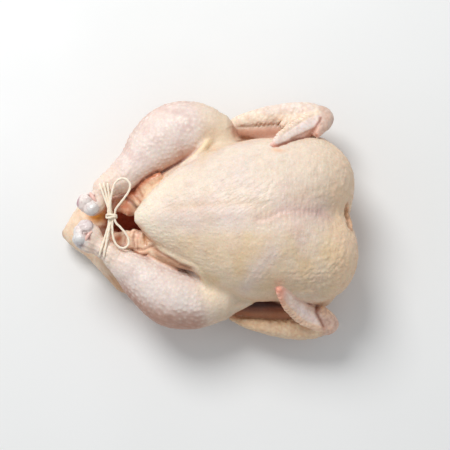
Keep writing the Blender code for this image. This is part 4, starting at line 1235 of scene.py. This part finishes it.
# ------------------------------------------------------- joints of the shin bones
def cartilage_material():
    n = Nodes("cartilage_surface")
    tint = n.attribute("tint", True)
    cloud = n.noise(260, 3, 0.55)
    tint = n.mix(n.spread(cloud, 0.35, 0.7, 0.0, 0.40), tint, n.mix(1.0, tint, (0.94, 0.88, 0.88), "MULTIPLY"))
    fine = n.noise(1500, 2, 0.5)
    return n.finish(Base_Color=tint, Roughness=n.spread(n.noise(500, 2), 0.3, 0.7, 0.09, 0.24),
                    Normal=n.bump(n.maths("ADD", cloud, n.maths("MULTIPLY", fine, 0.2)), 0.25, 0.0004),
                    Subsurface_Weight=0.2, Subsurface_Radius=(0.8, 0.7, 0.7), Subsurface_Scale=0.002, IOR=1.45)


gristle = cartilage_material()
HUES = {
    "right": [((-117.2, 8.4, 77), (230, 226, 223), 4.5), ((-121.4, 17.4, 76), (238, 228, 222), 5.0),
              ((-128.6, 13.6, 69), (176, 132, 142), 3.2), ((-123.0, 9.6, 73), (236, 222, 216), 3.4)],
    "left": [((-121.5, -7.4, 77), (226, 214, 212), 4.8), ((-128.0, -18.0, 75), (220, 220, 219), 4.6),
             ((-124.2, -12.0, 76), (246, 234, 228), 4.0), ((-129.0, -21.5, 72), (200, 194, 198), 3.0)]}
DENTS = {"right": [((-119.0, 19.2, 74.2), 1.7, 1.6), ((-120.6, 12.4, 73.4), 1.4, 0.7)],
         "left": [((-122.6, -13.6, 74.6), 2.3, 2.0), ((-125.6, -23.6, 72.5), 2.0, 1.2)]}
TENDONS = {"right": [(-118.4, 21.8, 71.4, 1.1, 1.0), (-117.0, 19.4, 73.6, 1.6, 1.4), (-115.0, 16.8, 74.4, 1.5, 1.3),
                     (-113.2, 14.6, 73.9, 1.0, 0.9)],
           "left": [(-116.6, -12.4, 74.2, 0.9, 0.9), (-119.0, -14.8, 75.2, 1.4, 1.3), (-121.0, -18.2, 75.0, 1.3, 1.2),
                    (-122.6, -21.4, 73.6, 0.9, 0.9)]}
for side, lumps in zip(("right", "left"), JOINTS):
    mid = np.mean([c for c, _ in lumps], axis=0)
    small_grid = Grid(mid - 18, mid + 18, 0.4, 6)
    solid = small_grid.field(ball(*lumps[0]))
    for lump in lumps[1:]:
        solid = join(solid, small_grid.field(ball(*lump)), 6.0)
    q, q4 = small_grid.surface(solid)
    qn = facing(q, q4)
    q = q + qn * (0.55 * noise(q, 7.0, 92) + 0.40 * noise(q, 4.0, 91, 2))[:, None]
    weights = np.array([np.exp(-(np.linalg.norm(q - c, axis=1) / r) ** 2) + 1e-6 for c, _, r in HUES[side]])
    weights /= weights.sum(0)
    shade = sum(w[:, None] * linear(c) for w, (_, c, _) in zip(weights, HUES[side]))
    for centre, radius, deep in DENTS[side]:
        share = bell(np.linalg.norm(q - centre, axis=1), radius)
        q = q - qn * (deep * share)[:, None]
        shade = shade * (1 - share[:, None]) + linear((112, 28, 24)) * share[:, None]
    veins = wrinkle(q, 4.5, 93, 0.10)[:, None] * 0.25
    shade = shade * (1 - veins) + linear((176, 120, 124)) * veins
    knob = mesh_piece(f"shin_joint_{side}", q, q4, gristle)
    paint(knob, "tint", np.clip(shade, 0, 1))
    cord_pts, cord_q, cord_t = limb(TENDONS[side], steps=5, sides=16)
    sinew = mixed_piece(f"tendon_{side}", cord_pts, cord_q, cord_t, gristle)
    paint(sinew, "tint", np.tile(linear((238, 196, 184)), (len(cord_pts), 1)))
    for piece in (knob, sinew):
        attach(piece, "root")

# -------------------------------------------------------------- floor and light
def floor_material():
    n = Nodes("pale_floor")
    cloud = n.spread(n.noise(3.0, 3), 0.3, 0.7)
    tint = n.mix(cloud, (0.83, 0.84, 0.835), (0.865, 0.875, 0.875))
    return n.finish(Base_Color=tint, Roughness=n.spread(n.noise(14, 2), 0.3, 0.7, 0.5, 0.6),
                    Normal=n.bump(n.noise(400, 2), 0.05, 0.0002))


bm = bmesh.new()
bmesh.ops.create_grid(bm, x_segments=2, y_segments=2, size=3.0)
floor_mesh = bpy.data.meshes.new("floor")
bm.to_mesh(floor_mesh)
bm.free()
floor = bpy.data.objects.new("floor", floor_mesh)
scene.collection.objects.link(floor)
floor_mesh.materials.append(floor_material())

world = bpy.data.worlds.new("studio")
scene.world = world
world.use_nodes = True
world.node_tree.nodes["Background"].inputs["Color"].default_value = (0.97, 0.985, 1.0, 1)
world.node_tree.nodes["Background"].inputs["Strength"].default_value = 0.50


def soft_light(name, place, aim, size, power, colour=(1, 1, 1)):
    data = bpy.data.lights.new(name, "AREA")
    data.shape = "DISK"
    data.size = size
    data.energy = power
    data.color = colour
    obj = bpy.data.objects.new(name, data)
    scene.collection.objects.link(obj)
    obj.location = place
    obj.rotation_euler = (Vector(aim) - Vector(place)).to_track_quat("-Z", "Y").to_euler()
    return obj


soft_light("key", (-0.50, 0.92, 1.36), (0, 0, 0.03), 0.80, 20.5, (1.0, 0.99, 0.98))

# ----------------------------------------------------------------------- camera
aim = Vector(PLACE * UNIT)
reach = 1250 * UNIT
tilt = math.radians(85)
camera_data = bpy.data.cameras.new("camera")
camera_data.lens = 107.5
camera_data.sensor_width = 36
camera_data.clip_start = 0.01
camera_data.clip_end = 20
camera = bpy.data.objects.new("camera", camera_data)
scene.collection.objects.link(camera)
camera.location = aim + Vector((0, -math.cos(tilt), math.sin(tilt))) * reach
camera.rotation_euler = (aim - camera.location).to_track_quat("-Z", "Y").to_euler()
scene.camera = camera
scene.view_settings.view_transform = "Standard"
